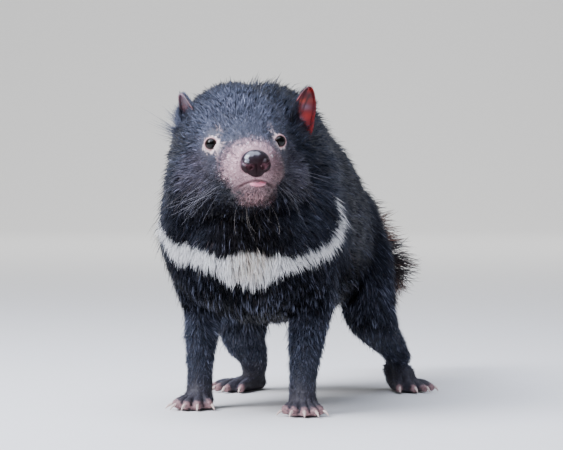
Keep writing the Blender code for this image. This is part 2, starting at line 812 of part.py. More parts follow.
def make_claw(name, tip, aim, kind, foot):
    """A curved, tapering claw that leaves the end of a digit and points at the ground."""
    length = CLAW_LENGTH[kind]
    down = Vector((0, 0, -1))
    rows = []
    for share, drop, size in ((0.0, -1.6, 1.0), (0.35, -1.9, 0.95), (0.7, -0.6, 0.66), (1.0, 2.6, 0.22)):
        centre = tip - aim * 1.5 + aim * (length * share) + down * drop
        rows.append((*centre, CLAW_RADIUS * size, CLAW_RADIUS * size * 1.15, CLAW_RADIUS * size * 0.8))
    lowest = rows[-1][2] - CLAW_RADIUS * 0.22
    lift = max(0.0, 0.6 - lowest)
    rows = [(x, y, z + lift * (i / 3) ** 2, *sizes) for i, (x, y, z, *sizes) in enumerate(rows)]
    side = aim.cross(Vector((0, 0, 1)))
    claw = loft(name, rows, side, steps=1, count=6, cap=0)
    return trimmed(claw, foot)


def limb_region(side, patch):
    """The space outside a sloping plane over a limb, rounded on top, as a cutter."""
    slope = math.atan(patch["slope"])
    out = Vector((math.cos(slope) * side, 0, -math.sin(slope)))
    along = Vector((math.sin(slope) * side, 0, math.cos(slope)))
    start = Vector((patch["inner"] * side, patch["middle"], patch["low"]))
    top = (patch["top"] - patch["low"]) / math.cos(slope) - patch["half"] * 0.55
    outline = [(-patch["half"], -REACH / 2)]
    for i in range(13):
        turn = math.pi * (1 - i / 12)
        outline.append((patch["half"] * math.cos(turn), top + patch["half"] * 0.75 * math.sin(turn)))
    outline.append((patch["half"], -REACH / 2))
    bm = bmesh.new()
    rings = []
    for reach in (0.0, REACH):
        ring = [start + Vector((0, y, 0)) + along * t + out * reach for y, t in outline]
        rings.append([bm.verts.new(p * MM) for p in ring])
    count = len(outline)
    for i in range(count):
        j = (i + 1) % count
        bm.faces.new((rings[0][i], rings[0][j], rings[1][j], rings[1][i]))
    bm.faces.new(rings[0])
    bm.faces.new(rings[1])
    return object_from(bm, "limb_region")


def take_limb(body, name, side, patch):
    """Cuts a limb from the body and gives it back as its own object."""
    region = limb_region(side, patch)
    limb = new_object(name, body.data.copy())
    boolean(limb, region, "INTERSECT", keep_tool=True)
    boolean(body, grown(region, GAP), "DIFFERENCE")
    discard(region)
    keep_largest(limb)
    keep_largest(body)
    return limb


def tail_core(steps=4):
    rows = [(x, y, z, r, r, r) for x, y, z, r in TAIL]
    return loft("tail_core", rows, (1, 0, 0), steps=steps, count=14, cap=0.7)


def bristle(root, travel, outward, length, lean):
    """A flat, tapered lock that rises from the tail and bends back along it."""
    across = travel.cross(outward).normalized()
    turn = math.radians(lean)
    bm = bmesh.new()
    rings = []
    place = root - outward * 3.2
    for share, wide, bend in ((0.0, 0.8, 1.15), (0.35, 1.0, 1.0), (0.72, 0.7, 0.82)):
        lie = turn * bend
        aim = travel * math.cos(lie) + outward * math.sin(lie)
        rise = aim.cross(across).normalized()
        centre = place + aim * (length * share)
        half = BRISTLE_WIDTH / 2 * wide
        thick = BRISTLE_THICK / 2 * (0.6 + 0.4 * wide)
        rings.append(
            [bm.verts.new((centre + a) * MM) for a in (across * half, rise * thick, -across * half, -rise * thick)]
        )
    lie = turn * 0.68
    end = bm.verts.new((place + (travel * math.cos(lie) + outward * math.sin(lie)) * length) * MM)
    bm.faces.new(rings[0])
    for a, b in zip(rings, rings[1:]):
        for i in range(4):
            j = (i + 1) % 4
            bm.faces.new((a[i], a[j], b[j], b[i]))
    for i in range(4):
        bm.faces.new((rings[-1][i], rings[-1][(i + 1) % 4], end))
    return object_from(bm, "bristle")


def make_tail():
    """The tail with its bristles fused on in staggered rows."""
    draw = random.Random(7)
    tail = tail_core(steps=2)
    tail.name = "tail"
    path = [Vector(r[:3]) for r in spline([row[:3] for row in TAIL], 12)]
    radii = [r[0] for r in spline([(row[3],) for row in TAIL], 12)]
    first, last = 16, len(path) - 3
    locks = bpy.data.collections.new("bristles")
    bpy.context.scene.collection.children.link(locks)
    for row in range(BRISTLE_ROWS):
        share = row / (BRISTLE_ROWS - 1)
        at = round(first + (last - first) * share)
        travel = (path[at + 1] - path[at - 1]).normalized()
        level = travel.cross(Vector((0, 0, 1))).normalized()
        raised = level.cross(travel)
        for i in range(BRISTLES_ROUND):
            turn = 2 * math.pi * (i + 0.5 * (row % 2) + draw.uniform(-0.12, 0.12)) / BRISTLES_ROUND
            outward = level * math.cos(turn) + raised * math.sin(turn)
            length = BRISTLE_LENGTH[0] + (BRISTLE_LENGTH[1] - BRISTLE_LENGTH[0]) * share
            lean = BRISTLE_LEAN[0] + (BRISTLE_LEAN[1] - BRISTLE_LEAN[0]) * share
            slide = travel * draw.uniform(-3, 3)
            root = path[at] + slide + outward * radii[at]
            lock = bristle(root, travel, outward, length * draw.uniform(0.85, 1.12), lean * draw.uniform(0.85, 1.1))
            bpy.context.scene.collection.objects.unlink(lock)
            locks.objects.link(lock)
    union = tail.modifiers.new("bristles", "BOOLEAN")
    union.operation = "UNION"
    union.operand_type = "COLLECTION"
    union.collection = locks
    apply_modifiers(tail)
    discard(*locks.objects)
    bpy.data.collections.remove(locks)
    point, normal = TAIL_CUT
    keep_side(tail, point, [-n for n in normal], GAP / 2)
    return keep_largest(tail)


def limb_shape(name, rows, side):
    """One leg without its foot, from inside the body down to the ankle."""
    return loft(name, rows, (side, 0, 0), steps=4, count=28, cap=0.6)


def make_body():
    """Every node, in the body's frame."""
    flesh = trunk_shapes()
    nodes = make_head(flesh)
    for name in EARS:
        nodes[name] = make_ear(name, nodes["head"])

    limbs = {
        "arm_right": limb_shape("arm_right", ARM_RIGHT, -1),
        "arm_left": limb_shape("arm_left", ARM_LEFT, 1),
        "leg_right": limb_shape("leg_right", LEG_RIGHT, -1),
        "leg_left": limb_shape("leg_left", LEG_LEFT, 1),
    }
    wrist = ((0, 0, WRIST_LEVEL), (0, 0, 1))
    nodes.update(make_foot("forefoot_right", limbs["arm_right"], wrist, -1))
    nodes.update(make_foot("forefoot_left", limbs["arm_left"], wrist, 1))
    nodes.update(make_foot("hindfoot_right", limbs["leg_right"], ANKLE_CUTS["right"], -1))
    nodes.update(make_foot("hindfoot_left", limbs["leg_left"], ANKLE_CUTS["left"], 1))

    skull = skull_shapes()
    core = tail_core()
    sources = [*flesh, *skull, *limbs.values(), core]
    point, normal = HEAD_CUT
    ahead = Vector(point) + Vector(normal).normalized() * 22
    body = fused("body", sources, 2.8, 10, BUDGET["body"], [(ahead, [-n for n in normal])])
    discard(*sources)
    keep_side(body, point, [-n for n in normal], GAP / 2)

    for word, side in (("left", 1), ("right", -1)):
        arm = take_limb(body, f"upper_arm_{word}", side, ARM_PATCH)
        upper, lower = parted(arm, arm.name, f"forearm_{word}", ((0, 0, ELBOW_LEVEL), (0, 0, 1)))
        keep_side(lower, (0, 0, WRIST_LEVEL), (0, 0, 1), GAP / 2)
        leg = take_limb(body, f"thigh_{word}", side, THIGH_PATCH)
        thigh, shank = parted(leg, leg.name, f"shank_{word}", KNEE_CUTS[word])
        keep_side(shank, *ANKLE_CUTS[word], GAP / 2)
        for node in (upper, lower, thigh, shank):
            nodes[node.name] = keep_largest(node)
    neck, trunk = parted(body, "neck", "torso", NECK_CUT)
    torso, rump = parted(trunk, "torso", "rump", RUMP_CUT)
    keep_side(rump, *TAIL_CUT, GAP / 2)
    nodes.update({"neck": neck, "torso": torso, "rump": keep_largest(rump)})
    nodes["tail"] = make_tail()
    return nodes


def colour_of(name):
    for word, colour in (
        ("claw", "claw"),
        ("nose", "nose_skin"),
        ("tongue", "tongue"),
        ("eye", "eye"),
        ("ear", "ear_skin"),
        ("tail", "tail_bristle"),
        ("lower_jaw", "muzzle_skin"),
    ):
        if name.startswith(word) or (word == "claw" and "claw" in name):
            return colour
    return "black_fur"


def rest_on_origin(objects):
    """Moves every mesh so that the animal's box is centred over the origin and stands on Z = 0."""
    corners = [vertex.co for obj in objects for vertex in obj.data.vertices]
    low = [min(c[i] for c in corners) for i in range(3)]
    high = [max(c[i] for c in corners) for i in range(3)]
    shift = Matrix.Translation((-(low[0] + high[0]) / 2, -(low[1] + high[1]) / 2, -low[2]))
    for obj in objects:
        obj.data.transform(shift)


def main():
    for obj in list(bpy.data.objects):
        bpy.data.objects.remove(obj)
    nodes = make_body()
    for name, obj in nodes.items():
        obj.name = name
        painted(obj, colour_of(name))
    rest_on_origin(list(nodes.values()))


main()
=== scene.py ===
import math

import bmesh
import bpy
import numpy as np
from mathutils import Matrix, Vector
from mathutils.bvhtree import BVHTree
from mathutils.kdtree import KDTree


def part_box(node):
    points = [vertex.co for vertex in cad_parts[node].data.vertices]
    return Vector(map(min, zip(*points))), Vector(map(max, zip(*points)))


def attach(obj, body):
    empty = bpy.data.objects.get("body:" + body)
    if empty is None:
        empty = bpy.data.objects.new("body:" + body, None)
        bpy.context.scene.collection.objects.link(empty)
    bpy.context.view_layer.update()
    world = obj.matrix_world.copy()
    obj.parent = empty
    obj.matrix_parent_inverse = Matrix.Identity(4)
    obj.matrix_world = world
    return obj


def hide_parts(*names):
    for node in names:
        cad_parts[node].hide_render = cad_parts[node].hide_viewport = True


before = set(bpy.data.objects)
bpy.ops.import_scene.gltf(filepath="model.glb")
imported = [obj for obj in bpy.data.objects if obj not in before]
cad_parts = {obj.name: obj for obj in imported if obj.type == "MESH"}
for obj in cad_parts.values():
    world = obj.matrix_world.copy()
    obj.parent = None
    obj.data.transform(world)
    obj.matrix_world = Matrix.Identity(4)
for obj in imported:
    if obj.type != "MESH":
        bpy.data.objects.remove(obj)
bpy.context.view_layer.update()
mm = 0.001
draw = np.random.default_rng(11)
print("frame loaded:", len(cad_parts), "nodes")

# The head's own axes, as the solids have them: left, forward and up from between the eyes.
pose = {
    "eyeMiddle": (28.0, -70.0, 267.0),  # in the body's own millimetres
    "eyeballMiddle": (25.681, -65.281, 264.938),  # middle of the two eyeballs, same axes
    "yaw": 27.0,  # degrees towards the animal's left
    "pitch": 1.0,
    "roll": 2.3,
}


def boxMiddle(node):
    low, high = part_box(node)
    return (low + high) / 2


eyeballMiddle = (boxMiddle("eye_left") + boxMiddle("eye_right")) / 2
bodyShift = eyeballMiddle - Vector(pose["eyeballMiddle"]) * mm


def headAxes():
    yaw, pitch, roll = (math.radians(pose[word]) for word in ("yaw", "pitch", "roll"))
    left = Vector((math.cos(yaw), math.sin(yaw), 0.0))
    level = Vector((math.sin(yaw), -math.cos(yaw), 0.0))
    forward = level * math.cos(pitch) + Vector((0, 0, 1)) * math.sin(pitch)
    up = -left.cross(forward)
    rolledLeft = left * math.cos(roll) + up * math.sin(roll)
    return Matrix((rolledLeft, forward, -rolledLeft.cross(forward))).transposed()


headTurn = headAxes()
headOrigin = Vector(pose["eyeMiddle"]) * mm + bodyShift
headTurnArray = np.array(headTurn)


def onBody(x, y, z):  # body millimetres to the frame's metres
    return Vector((x, y, z)) * mm + bodyShift


def onHead(left, forward, up):  # head millimetres to the frame's metres
    return headOrigin + headTurn @ Vector((left, forward, up)) * mm


def bodyMm(points):
    return (points - np.array(bodyShift)) / mm


def headMm(points):
    return ((points - np.array(headOrigin)) @ headTurnArray) / mm


# small helpers for meshes and materials


def linked(name, data):
    obj = bpy.data.objects.new(name, data)
    bpy.context.scene.collection.objects.link(obj)
    return obj


def newObject(name, bm):
    mesh = bpy.data.meshes.new(name)
    bm.to_mesh(mesh)
    bm.free()
    return linked(name, mesh)


def evaluated(obj):
    graph = bpy.context.evaluated_depsgraph_get()
    return bpy.data.meshes.new_from_object(obj.evaluated_get(graph))


def applied(obj):
    mesh = evaluated(obj)
    obj.modifiers.clear()
    obj.data = mesh
    return obj


def addModifier(obj, kind, **settings):
    modifier = obj.modifiers.new(kind.lower(), kind)
    for key, value in settings.items():
        setattr(modifier, key, value)


def remeshed(obj, voxelMm, smoothing):
    addModifier(obj, "REMESH", mode="VOXEL", voxel_size=voxelMm * mm)
    addModifier(obj, "SMOOTH", factor=0.5, iterations=smoothing)
    return applied(obj)


def placed(obj, material):
    obj.data.materials.clear()
    obj.data.materials.append(material)
    obj.data.shade_smooth()
    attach(obj, "root")
    return obj


def readAll(items, key, width, kind):
    values = np.zeros(len(items) * width, kind)
    items.foreach_get(key, values)
    return values.reshape(-1, width)


def coordinates(mesh):
    return readAll(mesh.vertices, "co", 3, np.float64)


def setCoordinates(mesh, places):
    mesh.vertices.foreach_set("co", places.astype(np.float32).ravel())
    mesh.update()


def vertexNormals(mesh):
    return readAll(mesh.vertex_normals, "vector", 3, np.float32).astype(np.float64)


def pointLayer(mesh, name, values):
    # a value or a colour for each vertex, which a material reads
    values = np.asarray(values, np.float32)
    if values.ndim == 1:
        mesh.attributes.new(name, "FLOAT", "POINT").data.foreach_set("value", values)
        return
    if values.shape[1] == 3:
        values = np.c_[values, np.ones(len(values), np.float32)]
    mesh.color_attributes.new(name, "FLOAT_COLOR", "POINT").data.foreach_set("color", values.ravel())


def addBall(bm, matrix, radius=1.0, across=24, along=16):
    bmesh.ops.create_uvsphere(bm, u_segments=across, v_segments=along, radius=radius, matrix=matrix)


def addSolid(bm, node, growMm=0.0):
    # a copy of a solid, welded and grown along its normals
    part = bmesh.new()
    part.from_mesh(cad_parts[node].data)
    bmesh.ops.remove_doubles(part, verts=part.verts, dist=1e-5)
    part.normal_update()
    for vertex in part.verts:
        vertex.co += vertex.normal * growMm * mm
    copy = bpy.data.meshes.new("part")
    part.to_mesh(copy)
    part.free()
    bm.from_mesh(copy)
    bpy.data.meshes.remove(copy)


def linear(hexColour):  # sRGB hex to linear
    parts = [int(hexColour[i : i + 2], 16) / 255 for i in (0, 2, 4)]
    return [c / 12.92 if c <= 0.04045 else ((c + 0.055) / 1.055) ** 2.4 for c in parts]


def rgba(hexColour):
    return (*linear(hexColour), 1.0)


def addNode(tree, kind, settings=None, **links):
    node = tree.nodes.new("ShaderNode" + kind)
    for key, value in (settings or {}).items():
        if hasattr(node, key):
            setattr(node, key, value)
        else:
            node.inputs[key].default_value = value
    for key, source in links.items():
        tree.links.new(source, node.inputs[int(key[2:])] if key.startswith("in") else node.inputs[key])
    return node


def newMaterial(name, constants):
    material = bpy.data.materials.new(name)
    material.use_nodes = True
    shader = material.node_tree.nodes["Principled BSDF"]
    for key, value in constants.items():
        shader.inputs[key].default_value = value
    return material, material.node_tree, shader


def texture(tree, kind, **settings):
    # a pattern over the object's own coordinates
    place = addNode(tree, "TexCoord")
    return addNode(tree, "Tex" + kind, settings, Vector=place.outputs["Object"]).outputs


def attribute(tree, name, output="Fac"):
    return addNode(tree, "Attribute", {"attribute_name": name}).outputs[output]


def twoTone(tree, share, dark, light):
    tone = addNode(tree, "Mix", {"data_type": "RGBA"}, in0=share)
    for socket, colour in ((6, dark), (7, light)):
        if isinstance(colour, str):
            tone.inputs[socket].default_value = rgba(colour)
        else:
            tree.links.new(colour, tone.inputs[socket])
    return tone.outputs[2]


def toneRamp(tree, share, stops):
    ramp = addNode(tree, "ValToRGB", Fac=share)
    elements = ramp.color_ramp.elements
    for number, (position, colour) in enumerate(stops):
        stop = elements[number] if number < 2 else elements.new(position)
        stop.position, stop.color = position, rgba(colour)
    return ramp.outputs["Color"]


def scaled(tree, colour, share, low, high):
    # a colour made darker and lighter by a pattern
    tint = addNode(tree, "MapRange", {"To Min": low, "To Max": high}, Value=share)
    shaded = addNode(tree, "VectorMath", {"operation": "SCALE"}, in0=colour)
    tree.links.new(tint.outputs["Result"], shaded.inputs["Scale"])
    return shaded.outputs["Vector"]


def finishShader(tree, shader, colour, height=None, strength=0.3, depth=0.0003, invert=False):
    tree.links.new(colour, shader.inputs["Base Color"])
    if height is not None:
        bump = addNode(tree, "Bump", {"Strength": strength, "Distance": depth, "invert": invert}, Height=height)
        tree.links.new(bump.outputs["Normal"], shader.inputs["Normal"])


def smoothStep(low, high, value):
    share = np.clip((value - low) / (high - low), 0.0, 1.0)
    return share * share * (3 - 2 * share)


def bell(value, half):
    return np.exp(-((value / half) ** 2))


def unit(vectors):
    return vectors / np.maximum(np.linalg.norm(vectors, axis=1, keepdims=True), 1e-12)


def alongSkin(vectors, normals):
    return vectors - normals * (vectors * normals).sum(1)[:, None]


def ripple(points, wavelength, seed):
    # smooth value between about -1 and 1 that wanders over the given wavelength in millimetres
    source = np.random.default_rng(seed)
    total = np.zeros(len(points))
    for _ in range(7):
        axis = source.normal(size=3)
        axis *= 2 * math.pi / (wavelength * source.uniform(0.7, 1.5) * np.linalg.norm(axis))
        total += np.sin(points @ axis + source.uniform(0, 6.3))
    return total / 3.0


# how the coat lies: place, direction, hair length in mm and lean from the skin in degrees

headLie = [
    ((0, 52, -8), (0, -1, 0.6), 2.2, 20),
    ((0, 35, 3), (0, -1, 0.35), 3.2, 20),
    ((20, 34, -24), (0.45, -1, 0.10), 3.4, 22),
    ((14, 46, -33), (0.5, -0.8, -0.5), 2.4, 22),
    ((31, 10, -36), (0.25, -1, -0.25), 4.0, 24),
    ((24, 14, -8), (0.15, -1, 0.15), 3.0, 22),
    ((0, 8, 16), (0, -1, 0.55), 4.0, 26),
    ((14, -6, 18), (0.10, -1, 0.5), 5.0, 28),
    ((34, -8, 13), (0.45, -0.8, 0.55), 5.0, 28),
    ((44, -6, -4), (0.6, -1, -0.05), 4.0, 24),
    ((34, 0, -13), (0.35, -1, -0.35), 3.2, 24),
    ((0, -24, 40), (0, -1, 0.5), 9.0, 36),
    ((28, -34, 42), (0.25, -1, 0.4), 9.0, 36),
    ((0, -60, 60), (0, -1, 0.25), 11.0, 34),
    ((40, -66, 44), (0.25, -1, 0.1), 11.0, 30),
    ((58, -50, 14), (0.35, -1, 0.05), 9.0, 26),
    ((52, -28, -16), (0.45, -1, -0.35), 8.0, 26),
    ((46, -24, -42), (0.35, -0.9, -0.6), 9.0, 26),
    ((70, -62, -24), (0.25, -0.9, -0.45), 13.0, 28),
    ((56, -56, -66), (0.2, -0.7, -0.75), 13.0, 28),
    ((30, -18, -66), (0.15, -0.7, -0.7), 8.0, 24),
    ((22, 18, -54), (0.2, -0.9, -0.45), 4.4, 24),
    ((0, 40, -54), (0, -0.5, -0.85), 3.6, 26),
    ((0, 8, -66), (0, -0.8, -0.5), 6.0, 26),
    ((0, -30, -84), (0, -0.4, -0.9), 10.0, 24),
]
bodyLie = [
    ((0, 40, 325), (0, 1, 0.05), 17.0, 30),
    ((60, 40, 300), (0.25, 1, -0.35), 17.0, 27),
    ((86, 20, 245), (0.15, 0.7, -0.75), 17.0, 26),
    ((80, -10, 205), (0.20, 0.45, -0.9), 16.0, 26),
    ((50, -36, 200), (0.18, 0.15, -1), 15.0, 25),
    ((0, -52, 190), (0, -0.05, -1), 13.0, 24),
    ((30, -46, 145), (0.16, 0.0, -1), 14.0, 26),
    ((80, -6, 150), (0.35, 0.35, -0.9), 14.0, 24),
    ((0, -28, 108), (0, 0.35, -0.95), 15.0, 28),
    ((93, 45, 195), (0, 0.6, -0.85), 15.0, 23),
    ((88, 60, 150), (0, 0.35, -1), 13.0, 23),
    ((40, 50, 90), (0, 0.8, -0.7), 13.0, 30),
    ((0, 50, 92), (0, 0.7, -0.8), 15.0, 34),
    ((0, 130, 86), (0, 0.8, -0.6), 15.0, 34),
    ((45, 150, 96), (0.1, 1, -0.25), 13.0, 22),
    ((86, 120, 170), (0, 1, -0.45), 16.0, 21),
    ((86, 110, 240), (0.05, 1, -0.45), 17.0, 22),
    ((50, 120, 300), (0.2, 1, -0.2), 17.0, 24),
    ((0, 120, 316), (0, 1, -0.15), 17.0, 26),
    ((0, 220, 284), (0, 1, -0.35), 16.0, 24),
    ((60, 210, 235), (0.1, 0.9, -0.6), 16.0, 22),
    ((74, 200, 160), (0, 0.8, -0.6), 15.0, 21),
    ((84, 270, 185), (0, 0.55, -0.85), 14.0, 21),
    ((88, 262, 130), (0, 0.2, -1), 12.0, 20),
    ((30, 210, 98), (0.1, 0.8, -0.6), 14.0, 30),
    ((0, 300, 130), (0, 0.6, -0.8), 12.0, 22),
    ((0, 300, 246), (0, 1, -0.55), 15.0, 24),
    ((25, 335, 175), (0.1, 0.7, -0.7), 13.0, 22),
    ((3, 352, 212), (0, 1, -0.4), 14.0, 24),
    ((6, 352, 168), (0, 1, -0.5), 12.0, 24),
    ((13, 388, 163), (0.1, 0.9, -0.5), 12.0, 26),
    ((23, 426, 142), (0.1, 0.9, -0.4), 10.0, 26),
    ((24, 468, 127), (0, 1, -0.3), 10.0, 26),
    ((14, 506, 118), (-0.2, 1, -0.2), 10.0, 26),
]
# Each leg by itself, from above the elbow or knee down to the toes.
legLie = [
    ((-88, 72, 120), (0, 0.25, -1), 11.0, 21),
    ((-84, 76, 90), (0, 0.1, -1), 8.0, 19),
    ((-40, 70, 95), (0.1, 0.2, -1), 8.0, 19),
    ((-64, 98, 100), (0, 0.35, -1), 10.0, 24),
    ((-66, 40, 95), (0, 0.0, -1), 8.0, 19),
    ((-62, 66, 62), (0, 0.05, -1), 6.0, 17),
    ((-62, 54, 34), (0, -0.1, -1), 4.0, 16),
    ((-62, 38, 18), (0, -1, -0.35), 2.6, 14),
    ((-61, 22, 12), (0, -1, -0.35), 2.2, 14),
    ((82, 46, 120), (0, 0.25, -1), 11.0, 21),
    ((78, 48, 90), (0, 0.1, -1), 8.0, 19),
    ((38, 42, 95), (0.1, 0.2, -1), 8.0, 19),
    ((60, 72, 100), (0, 0.35, -1), 10.0, 24),
    ((58, 14, 95), (0, 0.0, -1), 8.0, 19),
    ((57, 36, 62), (0, 0.05, -1), 6.0, 17),
    ((57, 22, 34), (0.1, -0.1, -1), 4.0, 16),
    ((60, 10, 18), (0.3, -1, -0.35), 2.6, 14),
    ((63, -6, 12), (0.3, -1, -0.35), 2.2, 14),
    ((-96, 236, 100), (0, 0.2, -1), 10.0, 20),
    ((-73, 214, 90), (0, 0.15, -1), 9.0, 20),
    ((-50, 240, 90), (0, 0.2, -1), 8.0, 20),
    ((-76, 246, 60), (0, 0.25, -1), 7.0, 18),
    ((-72, 264, 34), (0, 0.1, -1), 4.0, 16),
    ((-76, 256, 14), (-0.3, -1, -0.2), 2.6, 14),
    ((-84, 232, 10), (-0.3, -1, -0.3), 2.2, 14),
    ((90, 256, 104), (0, 0.25, -1), 10.0, 20),
    ((63, 232, 98), (0, 0.2, -1), 9.0, 20),
    ((40, 262, 96), (0, 0.3, -1), 8.0, 20),
    ((68, 276, 68), (0.1, 0.6, -0.8), 7.0, 18),
    ((86, 306, 42), (0.5, 0.3, -0.8), 7.0, 26),
    ((84, 312, 24), (0.6, -0.8, -0.3), 2.8, 14),
    ((104, 286, 12), (0.64, -0.77, -0.3), 2.2, 14),
]


def lieTable():
    places, directions, sizes = [], [], []

    def note(place, direction, length, lean):
        places.append(place)
        directions.append(np.array(direction, float) / np.linalg.norm(direction))
        sizes.append((length, lean))

    for (left, forward, up), (a, b, c), length, lean in headLie:
        for side in (1, -1) if left else (1,):
            place = bodyMm(np.array(onHead(side * left, forward, up)))
            note(place, headTurnArray @ np.array((side * a, b, c), float), length, lean)
    for (x, y, z), (a, b, c), length, lean in bodyLie:
        for side in (1, -1) if x > 15 else (1,):
            note((side * x, y, z), (side * a, b, c), length, lean)
    for place, direction, length, lean in legLie:
        note(place, direction, length * 1.15, lean + (9 if place[2] > 20 else 3))
    return np.array(places, float), np.array(directions), np.array(sizes, float)


liePlaces, lieDirections, lieSizes = lieTable()


def combed(points):
    # direction of the hair, its length and its lean at points given in metres
    here = bodyMm(points)
    directions = np.zeros_like(here)
    sizes = np.zeros((len(here), 2))
    for start in range(0, len(here), 20000):
        block = here[start : start + 20000]
        gap = ((block[:, None, :] - liePlaces[None, :, :]) ** 2).sum(2)
        weight = 1.0 / (gap + 60.0) ** 2
        weight /= weight.sum(1, keepdims=True)
        directions[start : start + 20000] = weight @ lieDirections
        sizes[start : start + 20000] = weight @ lieSizes
    return directions, sizes[:, 0], sizes[:, 1]


# markings, the same for the skin and for the hair over it

markings = {
    "black": "191a21",  # guard hair, blue-black
    "browSheen": "41434f",  # painted sky sheen: lighter, bluer hair over the crown and round the eyes
    "cheekSheen": "4b464f",
    "leg": "2b2d37",
    "throat": "15110f",  # browner under the jaw
    "muzzle": "cba1a8",  # sparse hair over pinkish-brown skin
    # darker hair round the mouth, also painted shade along the mouth's line and on the muzzle's left side
    "muzzleDarkAndShade": "4c3637",
    "chin": "8c6566",
    "eyeRing": "f2d9d8",
    "band": "f4f3f4",
    "bandWarm": "e4d4c4",
    "paw": "3a363d",
    "toe": "b08a8b",
}
# Line of the white band over the chest and up behind the shoulders: place and half-width in mm.
chestBand = [
    ((-88, 46, 218), 1.5),
    ((-92, 42, 208), 4.5),
    ((-93, 34, 196), 5.5),
    ((-88, 12, 183), 5.5),
    ((-78, -10, 174), 6.0),
    ((-70, -23, 166), 8.0),
    ((-57, -33, 158), 9.5),
    ((-42, -42, 156), 10.5),
    ((-23, -55, 152.5), 9.5),
    ((-7, -61, 146.5), 8.8),
    ((6, -60, 142.5), 12.0),
    ((17, -55, 141), 19.0),
    ((26, -48, 141.5), 19.8),
    ((35, -43, 140.5), 16.8),
    ((48, -37, 144.5), 13.0),
    ((60, -30, 144.5), 8.0),
    ((70, -18, 150), 7.0),
    ((79, -2, 154.8), 6.8),
    ((87, 14, 160.5), 7.5),
    ((92, 27, 170), 7.0),
    ((93, 38, 180), 7.0),
    ((93, 44, 189), 6.0),
    ((93, 40, 199), 5.5),
    ((90, 33, 209), 2.6),
    ((88, 30, 219), -2.5),
]
# Middle and radii of zones of the head in mm. Those off the middle are mirrored.
headZones = {
    "throat": ((0, -6, -92), (1.3, 1.0, 1.0)),
    "underJaw": ((0, -6, -92), (1.0, 1.0, 1.0)),
    "browSheen": ((0, -14, 14), (64, 60, 60)),
    "crown": ((0, -20, 25), (62, 60, 55)),
    "cheekSheen": ((50, 18, 26), (24, 34, 26)),
    "muzzle": ((0, 36, -25), (31, 34, 26)),
    "sparse": ((0, 34, -30), (33, 32, 30)),
    "flecked": ((0, 34, -30), (33, 33, 30)),
    "face": ((0, 34, -30), (36, 36, 34)),
    "wrinkled": ((0, 30, -30), (34, 34, 34)),
    "chin": ((0, 32, -53), (16, 26, 10)),
    "nosePad": ((0, 49, -20), (14.5, 12, 13.5)),
    "eyeRing": ((32.9, 2, -1.2), (8.2, 18, 8.2)),
    "eyeCorner": ((25.5, 8, -7.5), (5.4, 14, 3.8)),
    "eyeSpot": ((25.5, -2, 13), (4.2, 12, 6.5)),
}
# Where something starts and is complete: height in mm, or for the tail how far back.
heights = {
    "leg": (150, 100),
    "legHair": (150, 110),
    "foreleg": (110, 80),
    "paw": (42, 14),
    "foot": (9, 3),
    "sole": (1.0, 12.0),
    "trunk": (70, 130),
    "belly": (50, 80),
    "bellyTop": (165, 125),
    "bellyHair": (60, 90),
}
tail = {"root": (322, 350), "thinCoat": (345, 375), "bristles": (345, 372), "thickBristles": (430, 510)}
# How strongly a marking shows, on the hair and on the skin.
strengths = {"muzzle": (0.66, 0.80), "eyeRing": (0.72, 0.95), "eyeSpot": (0.5, 0.3), "toe": (0.55, 0.9)}
clawNodes = sorted(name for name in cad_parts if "claw" in name)
clawRoots = [np.array(boxMiddle(name)) for name in clawNodes]
bandReach = 28  # mm, how far from the band's line the skin may lie


def inZone(head, word, outer, inner, shift=0.0):
    # 1 inside a zone of the head and 0 outside, by its distance in radii
    middle, radii = headZones[word]
    return smoothStep(outer, inner, np.linalg.norm((head - middle) / radii, axis=1) + shift)


def inBand(points, normals):
    # how far a point is from the band's edge in mm, less than 0 inside
    here = bodyMm(points)
    line = np.array([place for place, _ in chestBand], float)
    half = np.array([width for _, width in chestBand], float)
    best = np.full(len(here), 99.0)
    for i in range(len(line) - 1):
        step = line[i + 1] - line[i]
        share = np.clip(((here - line[i]) @ step) / (step @ step), 0, 1)
        offset = here - (line[i] + share[:, None] * step)
        inward = (offset * normals).sum(1)
        offset -= normals * inward[:, None]
        width = half[i] + (half[i + 1] - half[i]) * share
        over = np.linalg.norm(offset, axis=1) - width
        best = np.where(np.abs(inward) < bandReach, np.minimum(best, over), best)
    return best


def mixed(base, colour, share):
    return base * (1 - share[:, None]) + np.array(colour) * share[:, None]


def fromEye(points, side):
    return np.linalg.norm(points - np.array(eyes[side][0]), axis=1) / mm


